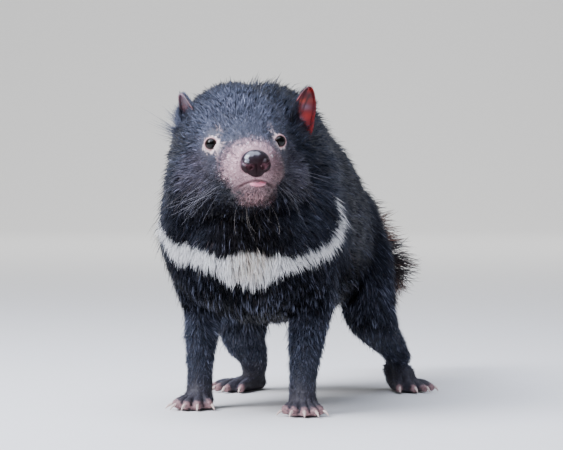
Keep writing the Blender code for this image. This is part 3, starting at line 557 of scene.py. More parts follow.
def markingsAt(points, normals, forHair):
    tone = {word: linear(value) for word, value in markings.items()}
    strength = {word: pair[0 if forHair else 1] for word, pair in strengths.items()}
    here, head = bodyMm(points), headMm(points)
    height, forward, up = here[:, 2], head[:, 1], head[:, 2]
    streak = ripple(here, 3.2, 4)
    colour = np.tile(tone["black"], (len(here), 1))
    # painted sky sheen: the lower legs lighter and bluer on the sides that face forward
    colour = mixed(colour, tone["leg"], smoothStep(*heights["leg"], height) * smoothStep(0.3, -0.3, normals[:, 1]))
    colour = mixed(colour, tone["throat"], 0.8 * inZone(head, "throat", 60, 10))
    # painted sky sheen over the crown and brow
    colour = mixed(colour, tone["browSheen"], 0.9 * inZone(head, "browSheen", 1.25, 0.5))
    # painted sky light: lighter grey on the cheeks
    colour = mixed(colour, tone["cheekSheen"], 0.8 * inZone(np.abs(head), "cheekSheen", 1.2, 0.4) * (up < 8))
    # muzzle: strongest round the nose, thinning out under the eyes, narrower and darker below
    narrow = 1 + 0.020 * np.clip(-30 - up, 0, 30)
    patch = np.c_[head[:, 0] * narrow, head[:, 1:]]
    muzzle = inZone(patch, "muzzle", 1.30, 0.66, 0.08 * ripple(here, 9, 3) + 0.14 * streak)
    fine = ripple(here, 1.9, 15)
    colour = mixed(colour, tone["muzzle"], muzzle * (strength["muzzle"] + 0.14 * streak + 0.16 * fine))
    lower = smoothStep(-30, -44, up) * muzzle
    colour = mixed(colour, tone["muzzleDarkAndShade"], lower * (0.52 + 0.22 * streak))
    colour = mixed(colour, tone["chin"], 0.5 * inZone(head, "chin", 1.25, 0.5, 0.08 * streak))
    # painted shade along the line of the mouth
    mouthLineShade = smoothStep(6, 1, np.abs(up + 42 + 0.10 * np.abs(head[:, 0]))) * smoothStep(20, 34, forward)
    colour = mixed(colour, tone["muzzleDarkAndShade"], mouthLineShade * 0.3)
    # painted shadow over the lower muzzle on the animal's left side
    paintedShadowLeft = smoothStep(5, 19, head[:, 0] + 2.0 * streak) * smoothStep(-8, -16, up)
    colour = mixed(colour, tone["muzzleDarkAndShade"], paintedShadowLeft * smoothStep(-6, 12, forward) * 0.78)
    # pale rings round the eyes, wider below, and a pale spot above each
    for side in (1, -1):
        mirrored = head * (side, 1, 1)
        away = fromEye(points, side) + 0.8 * streak
        ring = inZone(mirrored, "eyeRing", 1.26, 0.80, 0.14 * ripple(here, 5, 5) + 0.12 * streak)
        ring *= smoothStep(14.5, 10.0, away)
        corner = inZone(mirrored, "eyeCorner", 1.25, 0.5, 0.07 * streak) * smoothStep(19, 12, away)
        colour = mixed(colour, tone["eyeRing"], np.maximum(ring, 0.35 * corner) * strength["eyeRing"])
        spot = inZone(mirrored, "eyeSpot", 1.3, 0.5) * smoothStep(-0.2, 0.9, streak)
        colour = mixed(colour, tone["eyeRing"], spot * strength["eyeSpot"])
    # the band, warmer in the middle of the chest
    edge = inBand(points, normals) + 1.3 * ripple(here, 7, 8) + 0.7 * ripple(here, 3, 9)
    share = smoothStep(1.0, -1.0, edge)
    warm = smoothStep(34, 6, np.linalg.norm(here - (26, -46, 150), axis=1))
    cream = mixed(np.tile(tone["band"], (len(here), 1)), tone["bandWarm"], warm * 0.75)
    colour = mixed(colour, cream, share)
    # painted shade underneath, on faces that look down; paws go greyer and the toes' ends are pink
    under = smoothStep(0.1, -0.5, normals[:, 2])
    under *= smoothStep(*heights["belly"], height) * smoothStep(*heights["bellyTop"], height)
    colour = colour * (1 - 0.88 * under * (1 - share))[:, None]
    colour = mixed(colour, tone["paw"], 0.75 * smoothStep(*heights["paw"], height))
    uneven = 1.5 * ripple(here, 4, 12)
    for root in clawRoots:
        away = np.linalg.norm((points - root) / mm, axis=1)
        colour = mixed(colour, tone["toe"], smoothStep(13, 5, away + uneven) * strength["toe"])
    return colour


# the skin under the coat

limbs = ("upper_arm", "forearm", "forefoot", "thigh", "shank", "hindfoot")
skinValues = {
    "nodes": ["head", "lower_jaw", "neck", "torso", "rump"]
    + [limb + side for limb in limbs for side in ("_left", "_right")],
    "growMm": 0.4,  # closes the thin cuts between the solids
    "coarseMm": 2.2,
    "fineMm": 1.3,
    "depthShare": 0.40,  # of the hair's length, how deep the skin lies
    "tailDepth": 0.4,  # mm
    "fineHead": {"middle": (0, 5, -20), "fade": (75, 55)},  # keeps its fine faces, as do the feet
    "fineFeet": (34, 24),
    "triangles": 150000,
    "hock": {"middle": (89, 300, 19), "radii": (11, 21, 13), "heading": 40.0, "dip": 14.0},  # fills behind the ankle
    "noseFill": 9.5,
    "chinFill": {"middle": (0, 41, -39.5), "radius": 5.5},
}
footValues = {
    # heading in degrees to the animal's left, the sole's back end, which side is outward
    "feet": [
        (-4.0, (-61, 62), -1, "fore"),
        (18.0, (55, 30), 1, "fore"),
        (-18.0, (-70, 283), -1, "hind"),
        (40.0, (68, 325), 1, "hind"),
    ],
    # angle from the foot's axis, start and reach of each digit in mm
    "fore": [(-50, 22, 27), (-21, 24, 33), (0, 25, 36), (19, 24, 34.5), (40, 21, 29)],
    "hind": [(-17, 44, 64), (-3, 45, 68), (9, 44, 67), (23, 41, 61)],
    "pivot": {"fore": 10, "hind": 0},
    "lead": 12,  # how far a furrow starts before its digits
    "reach": (9, 24),  # of the shaping, aside and up
    "groove": (3.0, 2.0),  # depth and half-width
    "ridge": (0.7, 2.6),
}
tailCore = [
    (1, 300, 204, 24),
    (1, 322, 204, 26),
    (4, 352, 190, 22),
    (13, 388, 163, 17.5),
    (23, 426, 142, 14),
    (24, 468, 127, 11),
    (14, 506, 118, 7.5),
    (8, 520, 116, 4.5),
]


def taperedTube(name, points, radii):
    # a round bar along a smooth line, thinner where the radii say so
    curve = bpy.data.curves.new(name, "CURVE")
    curve.dimensions = "3D"
    curve.bevel_depth = 1.0
    curve.bevel_resolution = curve.resolution_u = 6
    curve.use_fill_caps = True
    spline = curve.splines.new("NURBS")
    spline.points.add(len(points) - 1)
    for point, place, radius in zip(spline.points, points, radii):
        point.co = (*place, 1.0)
        point.radius = radius
    spline.order_u = 3
    spline.use_endpoint_u = True
    obj = linked(name, curve)
    mesh = evaluated(obj)
    bpy.data.objects.remove(obj)
    return mesh


eyeValues = {
    "radius": 7.0,
    "cornea": 0.55,  # how far it bulges
    "corneaTurn": 44.0,  # degrees from the eye's axis to its edge
    "socket": 6.2,
    "bareTurn": 51.0,  # no hair grows within this angle
    "fineReach": 19,  # mm, the skin's faces are finer this close
    "socketReach": 26,
    "shortHair": (8, 17),  # the coat is shorter this close, and the skin less deep
    "shallow": (8, 22),
    "shift": (2.3, -0.8, 1.7),  # outward, forward and up from the solid's middle
    "across": {1: 0.30, -1: -0.38},  # how far each looks aside
}
# The socket: angle from the eye's axis in degrees and distance from its middle in mm.
socketTurns = (0, 46, 53, 64, 80, 102)
socketReach = (eyeValues["socket"], eyeValues["socket"], 7.9, 9.3, 13.0, 26)
sideNames = {1: "left", -1: "right"}


def eyeAims():
    # each eyeball's centre, and the direction it looks
    aims = {}
    out, forward, up = eyeValues["shift"]
    for side, word in sideNames.items():
        outward = (headTurn @ Vector((eyeValues["across"][side], 0.92, 0.05))).normalized()
        aims[side] = (boxMiddle("eye_" + word) + headTurn @ Vector((side * out, forward, up)) * mm, outward)
    return aims


eyes = eyeAims()


def makeSkin():
    bm = bmesh.new()
    for node in skinValues["nodes"]:
        addSolid(bm, node, skinValues["growMm"])
    core = taperedTube("tailCore", [onBody(x, y, z) for x, y, z, _ in tailCore], [r * mm for *_, r in tailCore])
    bm.from_mesh(core)
    hock, chin = skinValues["hock"], skinValues["chinFill"]
    turn = Matrix.Rotation(math.radians(hock["heading"]), 4, "Z") @ Matrix.Rotation(math.radians(hock["dip"]), 4, "X")
    addBall(bm, Matrix.Translation(onBody(*hock["middle"])) @ turn @ Matrix.Diagonal((*hock["radii"], 1.0)), mm)
    for centre, aim in eyes.values():  # the sockets are filled here, and opened again under the eyeballs
        addBall(bm, Matrix.Translation(centre - aim * 0.8 * mm), (eyeValues["radius"] + 0.6) * mm)
    behindNose = boxMiddle("nose") - headTurn.col[1] * 2.5 * mm
    addBall(bm, Matrix.Translation(behindNose), skinValues["noseFill"] * mm, 20, 12)
    addBall(bm, Matrix.Translation(onHead(*chin["middle"])), chin["radius"] * mm, 16, 10)
    skin = newObject("skin", bm)
    remeshed(skin, skinValues["coarseMm"], 6)
    print("skin: fused at", skinValues["coarseMm"], "mm,", len(skin.data.polygons), "faces")

    # sink the surface by the depth of the coat, along softened normals
    places = coordinates(skin.data)
    normals = vertexNormals(skin.data)
    _, length, _ = combed(places)
    here, head = bodyMm(places), headMm(places)
    depth = skinValues["depthShare"] * length
    depth *= 0.7 + 0.3 * smoothStep(*heights["trunk"], here[:, 2])
    depth *= smoothStep(*heights["sole"], here[:, 2])  # soles stay on the floor
    muzzle = smoothStep(20, 42, head[:, 1]) * smoothStep(-80, -50, head[:, 2])
    depth *= 1 - 0.7 * muzzle
    for side in (1, -1):
        depth *= 0.25 + 0.75 * smoothStep(*eyeValues["shallow"], fromEye(places, side))
    onTail = smoothStep(*tail["root"], here[:, 1])
    depth = depth * (1 - onTail) + skinValues["tailDepth"] * onTail
    places -= normals * (depth + skinValues["growMm"])[:, None] * mm
    setCoordinates(skin.data, places)
    remeshed(skin, skinValues["fineMm"], 5)
    keepLargest(skin)
    print("skin: laid under the coat,", len(skin.data.polygons), "faces")
    return skin


def keepLargest(obj):
    bm = bmesh.new()
    bm.from_mesh(obj.data)
    bm.verts.ensure_lookup_table()
    seen = set()
    groups = []
    for start in bm.verts:
        if start in seen:
            continue
        seen.add(start)
        group = [start]
        for vertex in group:  # grows while it is walked
            for link in vertex.link_edges:
                other = link.other_vert(vertex)
                if other not in seen:
                    seen.add(other)
                    group.append(other)
        groups.append(group)
    groups.sort(key=len, reverse=True)
    bmesh.ops.delete(bm, geom=[vertex for group in groups[1:] for vertex in group], context="VERTS")
    bm.to_mesh(obj.data)
    bm.free()


mouth = {
    "centreForward": 12.0,
    "middleUp": -37.0,
    "cornerDrop": 10.5,
    "turn": 55.0,
    "reach": 58.0,
    "grooveDeep": 2.3,
    "grooveHalf": 0.9,
    "lipProud": 1.0,
    "lipHalf": 1.7,
    "lips": ((2.9, 0.8), (-2.7, 1.0)),  # height over the mouth's line, and share of lipProud
    "furrowDeep": 1.2,
    "wrinkleDeep": 0.12,
    "fade": 38,  # degrees over which it ends
    "middle": (0, 14, -42),  # the shaping stays near this place
    "near": 48,
    "fineBox": (38, 4, -60, -24),  # finer faces: aside, from forward, from and up to a height
    "fineGap": 7,  # and near the mouth's line
}


def mouthLevel(share):
    # height of the line of the mouth, from its middle (0) to its corners (1)
    return mouth["middleUp"] - mouth["cornerDrop"] * share * share * (3 - 2 * share)


def mouthOff(head):
    # height over the line of the mouth, and the direction seen from above in degrees
    sides = np.degrees(np.arctan2(np.abs(head[:, 0]), head[:, 1] - mouth["centreForward"]))
    return head[:, 2] - mouthLevel(np.clip(sides / mouth["turn"], 0, 1)), sides


def mouthGap(place):
    sides = abs(math.degrees(math.atan2(place.x, place.y - mouth["centreForward"])))
    return abs(place.z - mouthLevel(min(1.0, sides / mouth["turn"])))


def seenFromEye(points, side):
    # offset from an eye's middle, its length, and the cosine of its angle to the way the eye looks
    centre, aim = (np.array(v) for v in eyes[side])
    offset = points - centre
    reach = np.linalg.norm(offset, axis=1)
    return offset, reach, (offset @ aim) / np.maximum(reach, 1e-9)


def refineFace(skin):
    # finer faces about the mouth and the eyes
    bm = bmesh.new()
    bm.from_mesh(skin.data)
    aside, back, low, high = mouth["fineBox"]
    front = []
    for edge in bm.edges:
        middle = (edge.verts[0].co + edge.verts[1].co) / 2
        away = headTurn.transposed() @ (middle - headOrigin) / mm
        inBox = away.y > back and low < away.z < high and abs(away.x) < aside
        nearMouth = inBox and mouthGap(away) < mouth["fineGap"]
        if nearMouth or min((middle - centre).length for centre, _ in eyes.values()) < eyeValues["fineReach"] * mm:
            front.append(edge)
    bmesh.ops.subdivide_edges(bm, edges=front, cuts=1, use_grid_fill=True)
    bmesh.ops.triangulate(bm, faces=[face for face in bm.faces if len(face.verts) > 4])
    bm.to_mesh(skin.data)
    bm.free()


def sculptFace(skin):
    # lips, the line of the mouth, folds and sockets
    refineFace(skin)
    places, normals = coordinates(skin.data), vertexNormals(skin.data)
    head = headMm(places)
    off, sides = mouthOff(head)
    inFront = smoothStep(mouth["reach"], mouth["reach"] - mouth["fade"], sides)
    inFront *= (np.linalg.norm(head - mouth["middle"], axis=1) < mouth["near"]) * (head[:, 1] > -4)
    groove = bell(off, mouth["grooveHalf"]) * inFront
    lips = sum(bell(off - up, mouth["lipHalf"]) * share for up, share in mouth["lips"]) * inFront
    move = mouth["lipProud"] * lips - mouth["grooveDeep"] * groove
    # the furrow down the middle of the lip, and fine wrinkles
    furrow = bell(head[:, 0], 1.0) * smoothStep(44, 50, head[:, 1]) * (off > 0) * (head[:, 2] < -28)
    move -= mouth["furrowDeep"] * furrow
    move += mouth["wrinkleDeep"] * ripple(head, 5, 21) * inZone(head, "wrinkled", 1.2, 0.7)
    places += normals * move[:, None] * mm
    for side in (1, -1):
        offset, reach, cosine = seenFromEye(places, side)
        angle = np.degrees(np.arccos(np.clip(cosine, -1, 1)))
        inside = (angle < 104) & (reach < eyeValues["socketReach"] * mm)
        bowl = np.interp(angle, socketTurns, socketReach)
        # pressed right in before the eye, less and less away from it
        press = np.maximum(smoothStep(62, 46, angle), smoothStep(24, 13, reach / mm))
        target = reach - np.maximum(reach - bowl * mm, 0) * press
        places[inside] = np.array(eyes[side][0]) + offset[inside] / reach[inside, None] * target[inside, None]
    setCoordinates(skin.data, places)
    print("skin: face shaped")


def sculptFeet(skin):
    # furrows between the digits and low knuckles along them
    places, normals = coordinates(skin.data), vertexNormals(skin.data)
    here = bodyMm(places)
    lead, (aside, top) = footValues["lead"], footValues["reach"]
    (deep, grooveHalf), (proud, ridgeHalf) = footValues["groove"], footValues["ridge"]
    for heading, heel, outward, kind in footValues["feet"]:
        turn = math.radians(heading)
        forward = np.array((math.sin(turn), -math.cos(turn)))
        outer = np.array((math.cos(turn), math.sin(turn))) * outward
        pivot = np.array(heel) + forward * footValues["pivot"][kind]
        gaps, along = [], []
        for angle, start, reach in footValues[kind]:
            aim = forward * math.cos(math.radians(angle)) + outer * math.sin(math.radians(angle))
            travel = np.clip((here[:, :2] - pivot) @ aim, start - lead, reach)
            gaps.append(np.linalg.norm(here[:, :2] - pivot - travel[:, None] * aim, axis=1))
            along.append((travel - start + lead) / (reach - start + lead))
        order = np.argsort(gaps, axis=0)
        first, second = (np.take_along_axis(np.array(gaps), order[i : i + 1], 0)[0] for i in (0, 1))
        run = np.take_along_axis(np.array(along), order[:1], 0)[0]
        near = (first < aside) & (here[:, 2] < top)
        groove = bell(second - first, grooveHalf) * smoothStep(0.05, 0.55, run)
        knuckle = 0.6 + 0.4 * np.cos(run * 4 * math.pi)
        ridge = bell(first, ridgeHalf) * knuckle * (normals[:, 2] > 0)
        move = (proud * ridge - deep * groove * (normals[:, 2] > -0.3)) * near
        move *= smoothStep(1.0, 4.0, here[:, 2])
        places += normals * move[:, None] * mm
    setCoordinates(skin.data, places)


def thinned(obj, triangles):
    # fewer faces on the trunk and legs, with the head left as fine as it is
    bm = bmesh.new()
    bm.from_mesh(obj.data)
    bmesh.ops.triangulate(bm, faces=bm.faces)
    bm.to_mesh(obj.data)
    bm.free()
    places = coordinates(obj.data)
    fine = skinValues["fineHead"]
    away = np.linalg.norm(headMm(places) - fine["middle"], axis=1)
    low = smoothStep(*skinValues["fineFeet"], bodyMm(places)[:, 2])
    weight = np.maximum(smoothStep(*fine["fade"], away), 0.6 * low)
    group = obj.vertex_groups.new(name="keepFine")
    for level in range(1, 11):
        chosen = np.nonzero((weight > (level - 0.5) / 10) & (weight <= (level + 0.5) / 10))[0]
        group.add(chosen.tolist(), level / 10, "REPLACE")
    count = len(obj.data.polygons)
    if count > triangles:
        limit = {"vertex_group": "keepFine", "invert_vertex_group": True, "vertex_group_factor": 1.0}
        addModifier(obj, "DECIMATE", ratio=triangles / count, **limit)
        applied(obj)
    obj.vertex_groups.clear()
    print("skin: thinned from", count, "to", len(obj.data.polygons), "triangles")


def unwrapped(obj):
    # an unwrap of the skin's own shape, for the places of the tufts
    bpy.context.view_layer.objects.active = obj
    obj.select_set(True)
    bpy.ops.object.mode_set(mode="EDIT")
    bpy.ops.mesh.select_all(action="SELECT")
    bpy.ops.uv.smart_project(angle_limit=math.radians(66), island_margin=0.001)
    bpy.ops.object.mode_set(mode="OBJECT")
    obj.select_set(False)
    obj.data.uv_layers[0].name = "skinUnwrap"
    print("skin: unwrapped")


def skinMaterial():
    # Mammal skin under short hair: dull, finely grained, with the coat's own markings.
    material, tree, shader = newMaterial("devilSkin", {"Roughness": 0.58, "IOR": 1.42})
    grain = texture(tree, "Noise", Scale=900.0, Detail=3.0)["Fac"]
    pores = texture(tree, "Voronoi", Scale=700.0, feature="F1")["Distance"]  # follicles about 1.4 mm apart
    colour = scaled(tree, attribute(tree, "markings", "Color"), grain, 0.72, 1.22)
    height = addNode(tree, "Math", {"operation": "ADD"}, in0=grain, in1=pores)
    finishShader(tree, shader, colour, height.outputs["Value"], 0.45, 0.0006)
    return material


skin = makeSkin()
sculptFeet(skin)
thinned(skin, skinValues["triangles"])
sculptFace(skin)
unwrapped(skin)
pointLayer(skin.data, "markings", markingsAt(coordinates(skin.data), vertexNormals(skin.data), False))
placed(skin, skinMaterial())
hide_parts(*skinValues["nodes"], "tail")

# the coat, as solid tapered tufts

coatValues = {
    "trianglesInAll": 1350000,
    "clumpOf": 22,  # tufts that lean together, long and short
    "clumpOfShort": 7,
    "clumpPull": 0.5,
    "clumpTone": (-0.03, 0.32),  # middle and spread of its lightness
    "shortBelow": 4.6,  # mm, tufts this short are plain spikes
    "lengthSpread": 0.16,
    "leanSpread": 4.5,
    "turnSpread": 0.09,
    "sinkMm": 0.7,
    "width": (0.62, 1.35),  # mm across at the root, thinnest and widest on the trunk
    "guardShare": 0.10,  # of the tufts, longer and thinner than the rest
    "guardLonger": (1.1, 1.45),
    "guardLean": (3, 17),  # degrees more than the rest
    "patch": 0.003,  # width of a tuft's place in the unwrap
    "perPiece": 190000,
}
spikeCost, tuftCost = 4, 10  # triangles of a short and a long tuft
tuftShape = {
    "corners": ((1, -0.3), (-1, -0.3), (0, 0.6)),  # aside and up, in half-widths
    "lean": (1.35, 0.75),  # of the lean, at the root and what it loses to the tip
    "taper": (0.5, 0.16, 1.4),
    "rootWidth": 0.8,
    "rootShade": (0.5, 0.95),  # painted shade: darker at the root, less so for white hair
    # painted sheen: lighter towards the end and at the tip
    "endShade": 1.2,
    "tipShade": 1.35,
    "brightest": 0.88,
}
# How the hair's colours vary: the spread, and the shares of odd ones.
hairMix = {
    "spread": 0.34,
    "darkOnMuzzle": 0.42,
    "paleOnMuzzle": 0.22,
    "brown": (0.03, "4a3d38"),
    "bright": (0.10, 0.08, "545867"),  # painted glints of bluish light on some dark hairs, everywhere, more on the legs
}


def skinSurface(mesh):
    # vertices, their normals, the faces' corners and the corners' places in the unwrap
    mesh.calc_loop_triangles()
    corners = readAll(mesh.loop_triangles, "vertices", 3, np.int32)
    loops = readAll(mesh.loop_triangles, "loops", 3, np.int32)
    spots = readAll(mesh.uv_layers[0].data, "uv", 2, np.float32)
    return coordinates(mesh), vertexNormals(mesh), corners, spots[loops]


def faceValues(surface):
    # middle, direction and area in square mm of each face
    places, normals, corners, _ = surface
    a, b, c = (places[corners[:, i]] for i in range(3))
    area = np.linalg.norm(np.cross(b - a, c - a), axis=1) / 2 / mm**2
    return (a + b + c) / 3, unit(normals[corners].mean(1)), area


def spreadPicks(weight, count):
    # faces picked evenly along the running sum of their weights
    running = np.cumsum(weight)
    return np.searchsorted(running, (np.arange(count) + draw.uniform(size=count)) / count * running[-1])


def bareShare(points, normals):
    # 1 where no hair grows: nose, eyes, the mouth's line, soles
    here, head = bodyMm(points), headMm(points)
    bare = (inZone(head, "nosePad", 1.0, 0.999999) > 0).astype(float)
    for side in (1, -1):
        _, reach, cosine = seenFromEye(points, side)
        bare = np.maximum(bare, (cosine > math.cos(math.radians(eyeValues["bareTurn"]))) & (reach < 11 * mm))
    off, sides = mouthOff(head)
    onMouth = (np.abs(off) < 1.6) & (sides < mouth["reach"]) & (head[:, 1] > 0) & (np.abs(head[:, 2]) < 62)
    bare = np.maximum(bare, onMouth)
    sole = (here[:, 2] < 9) & (normals[:, 2] < -0.35)
    return np.maximum(bare, sole | (here[:, 2] < 1.5))


def densityAt(points, normals, length):
    here, head = bodyMm(points), headMm(points)
    density = 0.20 + 2.1 / np.maximum(length, 2.2)
    density *= 1 - 0.25 * inZone(head, "sparse", 1.25, 0.8)
    density *= 1 - 0.55 * smoothStep(*heights["foot"], here[:, 2])
    density *= 1 - 0.6 * smoothStep(*tail["thinCoat"], here[:, 1])
    under = smoothStep(-0.5, -0.9, normals[:, 2]) * smoothStep(*heights["bellyHair"], here[:, 2])
    density *= 1 - 0.35 * under
    return density * (1 - bareShare(points, normals))


def scattered(surface):
    # roots spread over the skin, thicker where the hair is short
    places, normals, corners, spots = surface
    middle, facing, area = faceValues(surface)
    _, length, _ = combed(middle)
    weight = area * densityAt(middle, facing, length)
    cost = np.where(length < coatValues["shortBelow"], spikeCost, tuftCost)
    count = int(weight.sum() * coatValues["trianglesInAll"] / (weight * cost).sum())
    chosen = spreadPicks(weight, count)
    u, v = draw.uniform(size=(2, count))
    flip = u + v > 1
    u[flip], v[flip] = 1 - u[flip], 1 - v[flip]
    share = np.c_[1 - u - v, u, v][:, :, None]
    roots = (places[corners[chosen]] * share).sum(1)
    facing = unit((normals[corners[chosen]] * share).sum(1))
    spot = (spots[chosen] * share).sum(1)
    keep = bareShare(roots, facing) < 0.5
    print("coat:", int(keep.sum()), "tufts over", round(area.sum() / 100), "square cm of skin")
    return roots[keep], facing[keep], spot[keep]


def sheenAt(points, normals):
    # how strongly the hair shines: most on the crown, the back and the forelegs, least underneath
    here, head = bodyMm(points), headMm(points)
    sheen = 0.42 + 0.5 * smoothStep(0.0, 0.8, normals[:, 2])
    sheen = np.maximum(sheen, 1.1 * inZone(head, "crown", 1.3, 0.6))
    sheen = np.maximum(sheen, 0.95 * smoothStep(*heights["foreleg"], here[:, 2]) * smoothStep(0.4, -0.2, normals[:, 1]))
    upright = smoothStep(0.75, 0.35, np.abs(normals[:, 2]))
    sheen *= 1 - 0.6 * smoothStep(60, 90, here[:, 1]) * upright * smoothStep(80, 110, here[:, 2])
    sheen *= 1 - 0.85 * smoothStep(0.1, -0.4, normals[:, 2]) * smoothStep(60, 80, here[:, 2])
    return sheen * (1 - 0.7 * inZone(head, "underJaw", 64, 20))


def tuftFaces(segments):
    # a three-sided rod of a few segments that ends in a point
    faces = [(0, 1, 2)]
    for base in range(0, 3 * segments - 3, 3):
        faces += [(base + (k + 1) % 3, base + k, base + 3 + k, base + 3 + (k + 1) % 3) for k in range(3)]
    base = 3 * (segments - 1)
    return faces + [(base + (k + 1) % 3, base + k, base + 3) for k in range(3)]


def strandMesh(name, segments, roots, normals, lies, lengths, widths, leans, colours, spots):
    count = len(roots)
    across = np.cross(normals, lies)
    corners = 3 * segments + 1
    places = np.zeros((count, corners, 3))
    tones = np.ones((count, corners, 4))
    tones[:, :, 3] = sheenAt(roots, normals)[:, None]
    patch = np.zeros((corners, 2))
    centre = roots - normals * coatValues["sinkMm"] * mm
    (dark, white), (steep, bend), (full, thinner, power) = (tuftShape[key] for key in ("rootShade", "lean", "taper"))
    paintedRootDark = np.where(colours.mean(1) > 0.5, white, dark)
    for step in range(segments):
        angle = leans * (steep - bend * step / max(1, segments - 1))
        travel = lies * np.cos(angle)[:, None] + normals * np.sin(angle)[:, None]
        raised = normals * np.cos(angle)[:, None] - lies * np.sin(angle)[:, None]
        half = (widths * (full - thinner * (step / segments) ** power))[:, None] * mm
        if step == 0 and segments > 1:
            half = half * tuftShape["rootWidth"]
        for corner, (aside, high) in enumerate(tuftShape["corners"]):
            places[:, 3 * step + corner] = centre + across * half * aside + raised * half * high
            patch[3 * step + corner] = ((corner - 1) * 0.4 * (1 - step / segments), step / segments - 0.5)
        # painted shade at the root, rising to painted sheen at the tip
        paintedShadeRamp = paintedRootDark + (tuftShape["endShade"] - paintedRootDark) * step / segments
        tones[:, 3 * step : 3 * step + 3, :3] = (colours * paintedShadeRamp[:, None])[:, None, :]
        centre = centre + travel * (lengths / segments)[:, None] * mm
    places[:, -1] = centre
    tones[:, -1, :3] = colours * tuftShape["tipShade"]
    tones[..., :3] = np.minimum(tones[..., :3], tuftShape["brightest"])
    patch[-1] = (0, 0.5)
    faces = tuftFaces(segments)
    corner = np.array([index for face in faces for index in face])
    starts = np.cumsum([0] + [len(face) for face in faces[:-1]])
    loops = (np.arange(count)[:, None] * corners + corner[None, :]).ravel()
    loopStarts = (np.arange(count)[:, None] * len(corner) + starts[None, :]).ravel()
    mesh = bpy.data.meshes.new(name)
    mesh.vertices.add(count * corners)
    mesh.vertices.foreach_set("co", places.astype(np.float32).ravel())
    mesh.loops.add(len(loops))
    mesh.loops.foreach_set("vertex_index", loops.astype(np.int32))
    mesh.polygons.add(len(loopStarts))
    mesh.polygons.foreach_set("loop_start", loopStarts.astype(np.int32))
    mesh.update(calc_edges=True)
    layer = mesh.uv_layers.new(name="OFBake")
    spread = np.clip(spots[:, None, :] + patch[corner][None, :, :] * coatValues["patch"], 0.0, 1.0)
    layer.data.foreach_set("uv", spread.astype(np.float32).ravel())
    pointLayer(mesh, "markings", tones.reshape(-1, 4))
    return linked(name, mesh)


def turnedAbout(vectors, axes, angles):
    cosine, sine = np.cos(angles)[:, None], np.sin(angles)[:, None]
    return vectors * cosine + np.cross(axes, vectors) * sine


def hairColours(points, normals):
    colours = markingsAt(points, normals, True)
    head = headMm(points)
    count = len(points)
    lightness = np.exp(draw.normal(0, hairMix["spread"], count))
    muzzle = inZone(head, "flecked", 1.5, 0.9)
    pick = draw.uniform(size=count)
    dark = pick < hairMix["darkOnMuzzle"] * muzzle
    colours[dark] = colours[dark] * 0.30
    pale = pick > 1 - hairMix["paleOnMuzzle"] * muzzle
    colours[pale] = colours[pale] * 1.3 + 0.06
    (brownShare, brownTone), (glintShare, onLegs, glintTone) = hairMix["brown"], hairMix["bright"]
    brown = draw.uniform(size=count) < brownShare
    colours[brown] = colours[brown] * 0.6 + np.array(linear(brownTone)) * 0.4
    # painted glints: some dark hairs made bright and bluish, more on the legs
    dim = colours.mean(1) < 0.1
    leg = smoothStep(*heights["legHair"], bodyMm(points)[:, 2])
    bright = dim & (draw.uniform(size=count) < glintShare + onLegs * leg)
    colours[bright] = colours[bright] * 1.6 + np.array(linear(glintTone)) * (0.55 + 0.5 * leg[bright])[:, None]
    pale = colours.mean(1) > 0.5
    lightness[pale] = lightness[pale] ** 0.5
    return colours * lightness[:, None]


def coatMaterial():
    # Guard hair: smooth horn-like fibres, black with a cold sheen along their length.
    constants = {"Roughness": 0.36, "IOR": 1.55, "Specular Tint": rgba("bccdf2")}
    material, tree, shader = newMaterial("devilGuardHair", constants)
    level = addNode(tree, "Math", {"operation": "MULTIPLY"}, in0=attribute(tree, "markings", "Alpha"))
    level.inputs[1].default_value = 0.8
    tree.links.new(level.outputs["Value"], shader.inputs["Specular IOR Level"])
    finishShader(tree, shader, attribute(tree, "markings", "Color"))
    return material


def clumped(here, lies, normals, lengths):
    # neighbouring tufts lean towards the middle one of their lock and share its lightness
    chance = np.where(lengths < coatValues["shortBelow"], 1 / coatValues["clumpOfShort"], 1 / coatValues["clumpOf"])
    leaders = np.nonzero(draw.uniform(size=len(here)) < chance)[0]
    tree = KDTree(len(leaders))
    for number, place in enumerate(here[leaders].tolist()):
        tree.insert(place, number)
    tree.balance()
    nearest = np.array([tree.find(place)[1] for place in here.tolist()])
    towards = alongSkin(here[leaders][nearest] - here, normals)
    joined = unit(lies * lengths[:, None] + coatValues["clumpPull"] * towards)
    lightness = np.exp(draw.normal(*coatValues["clumpTone"], len(leaders)))
    return joined, lightness[nearest]


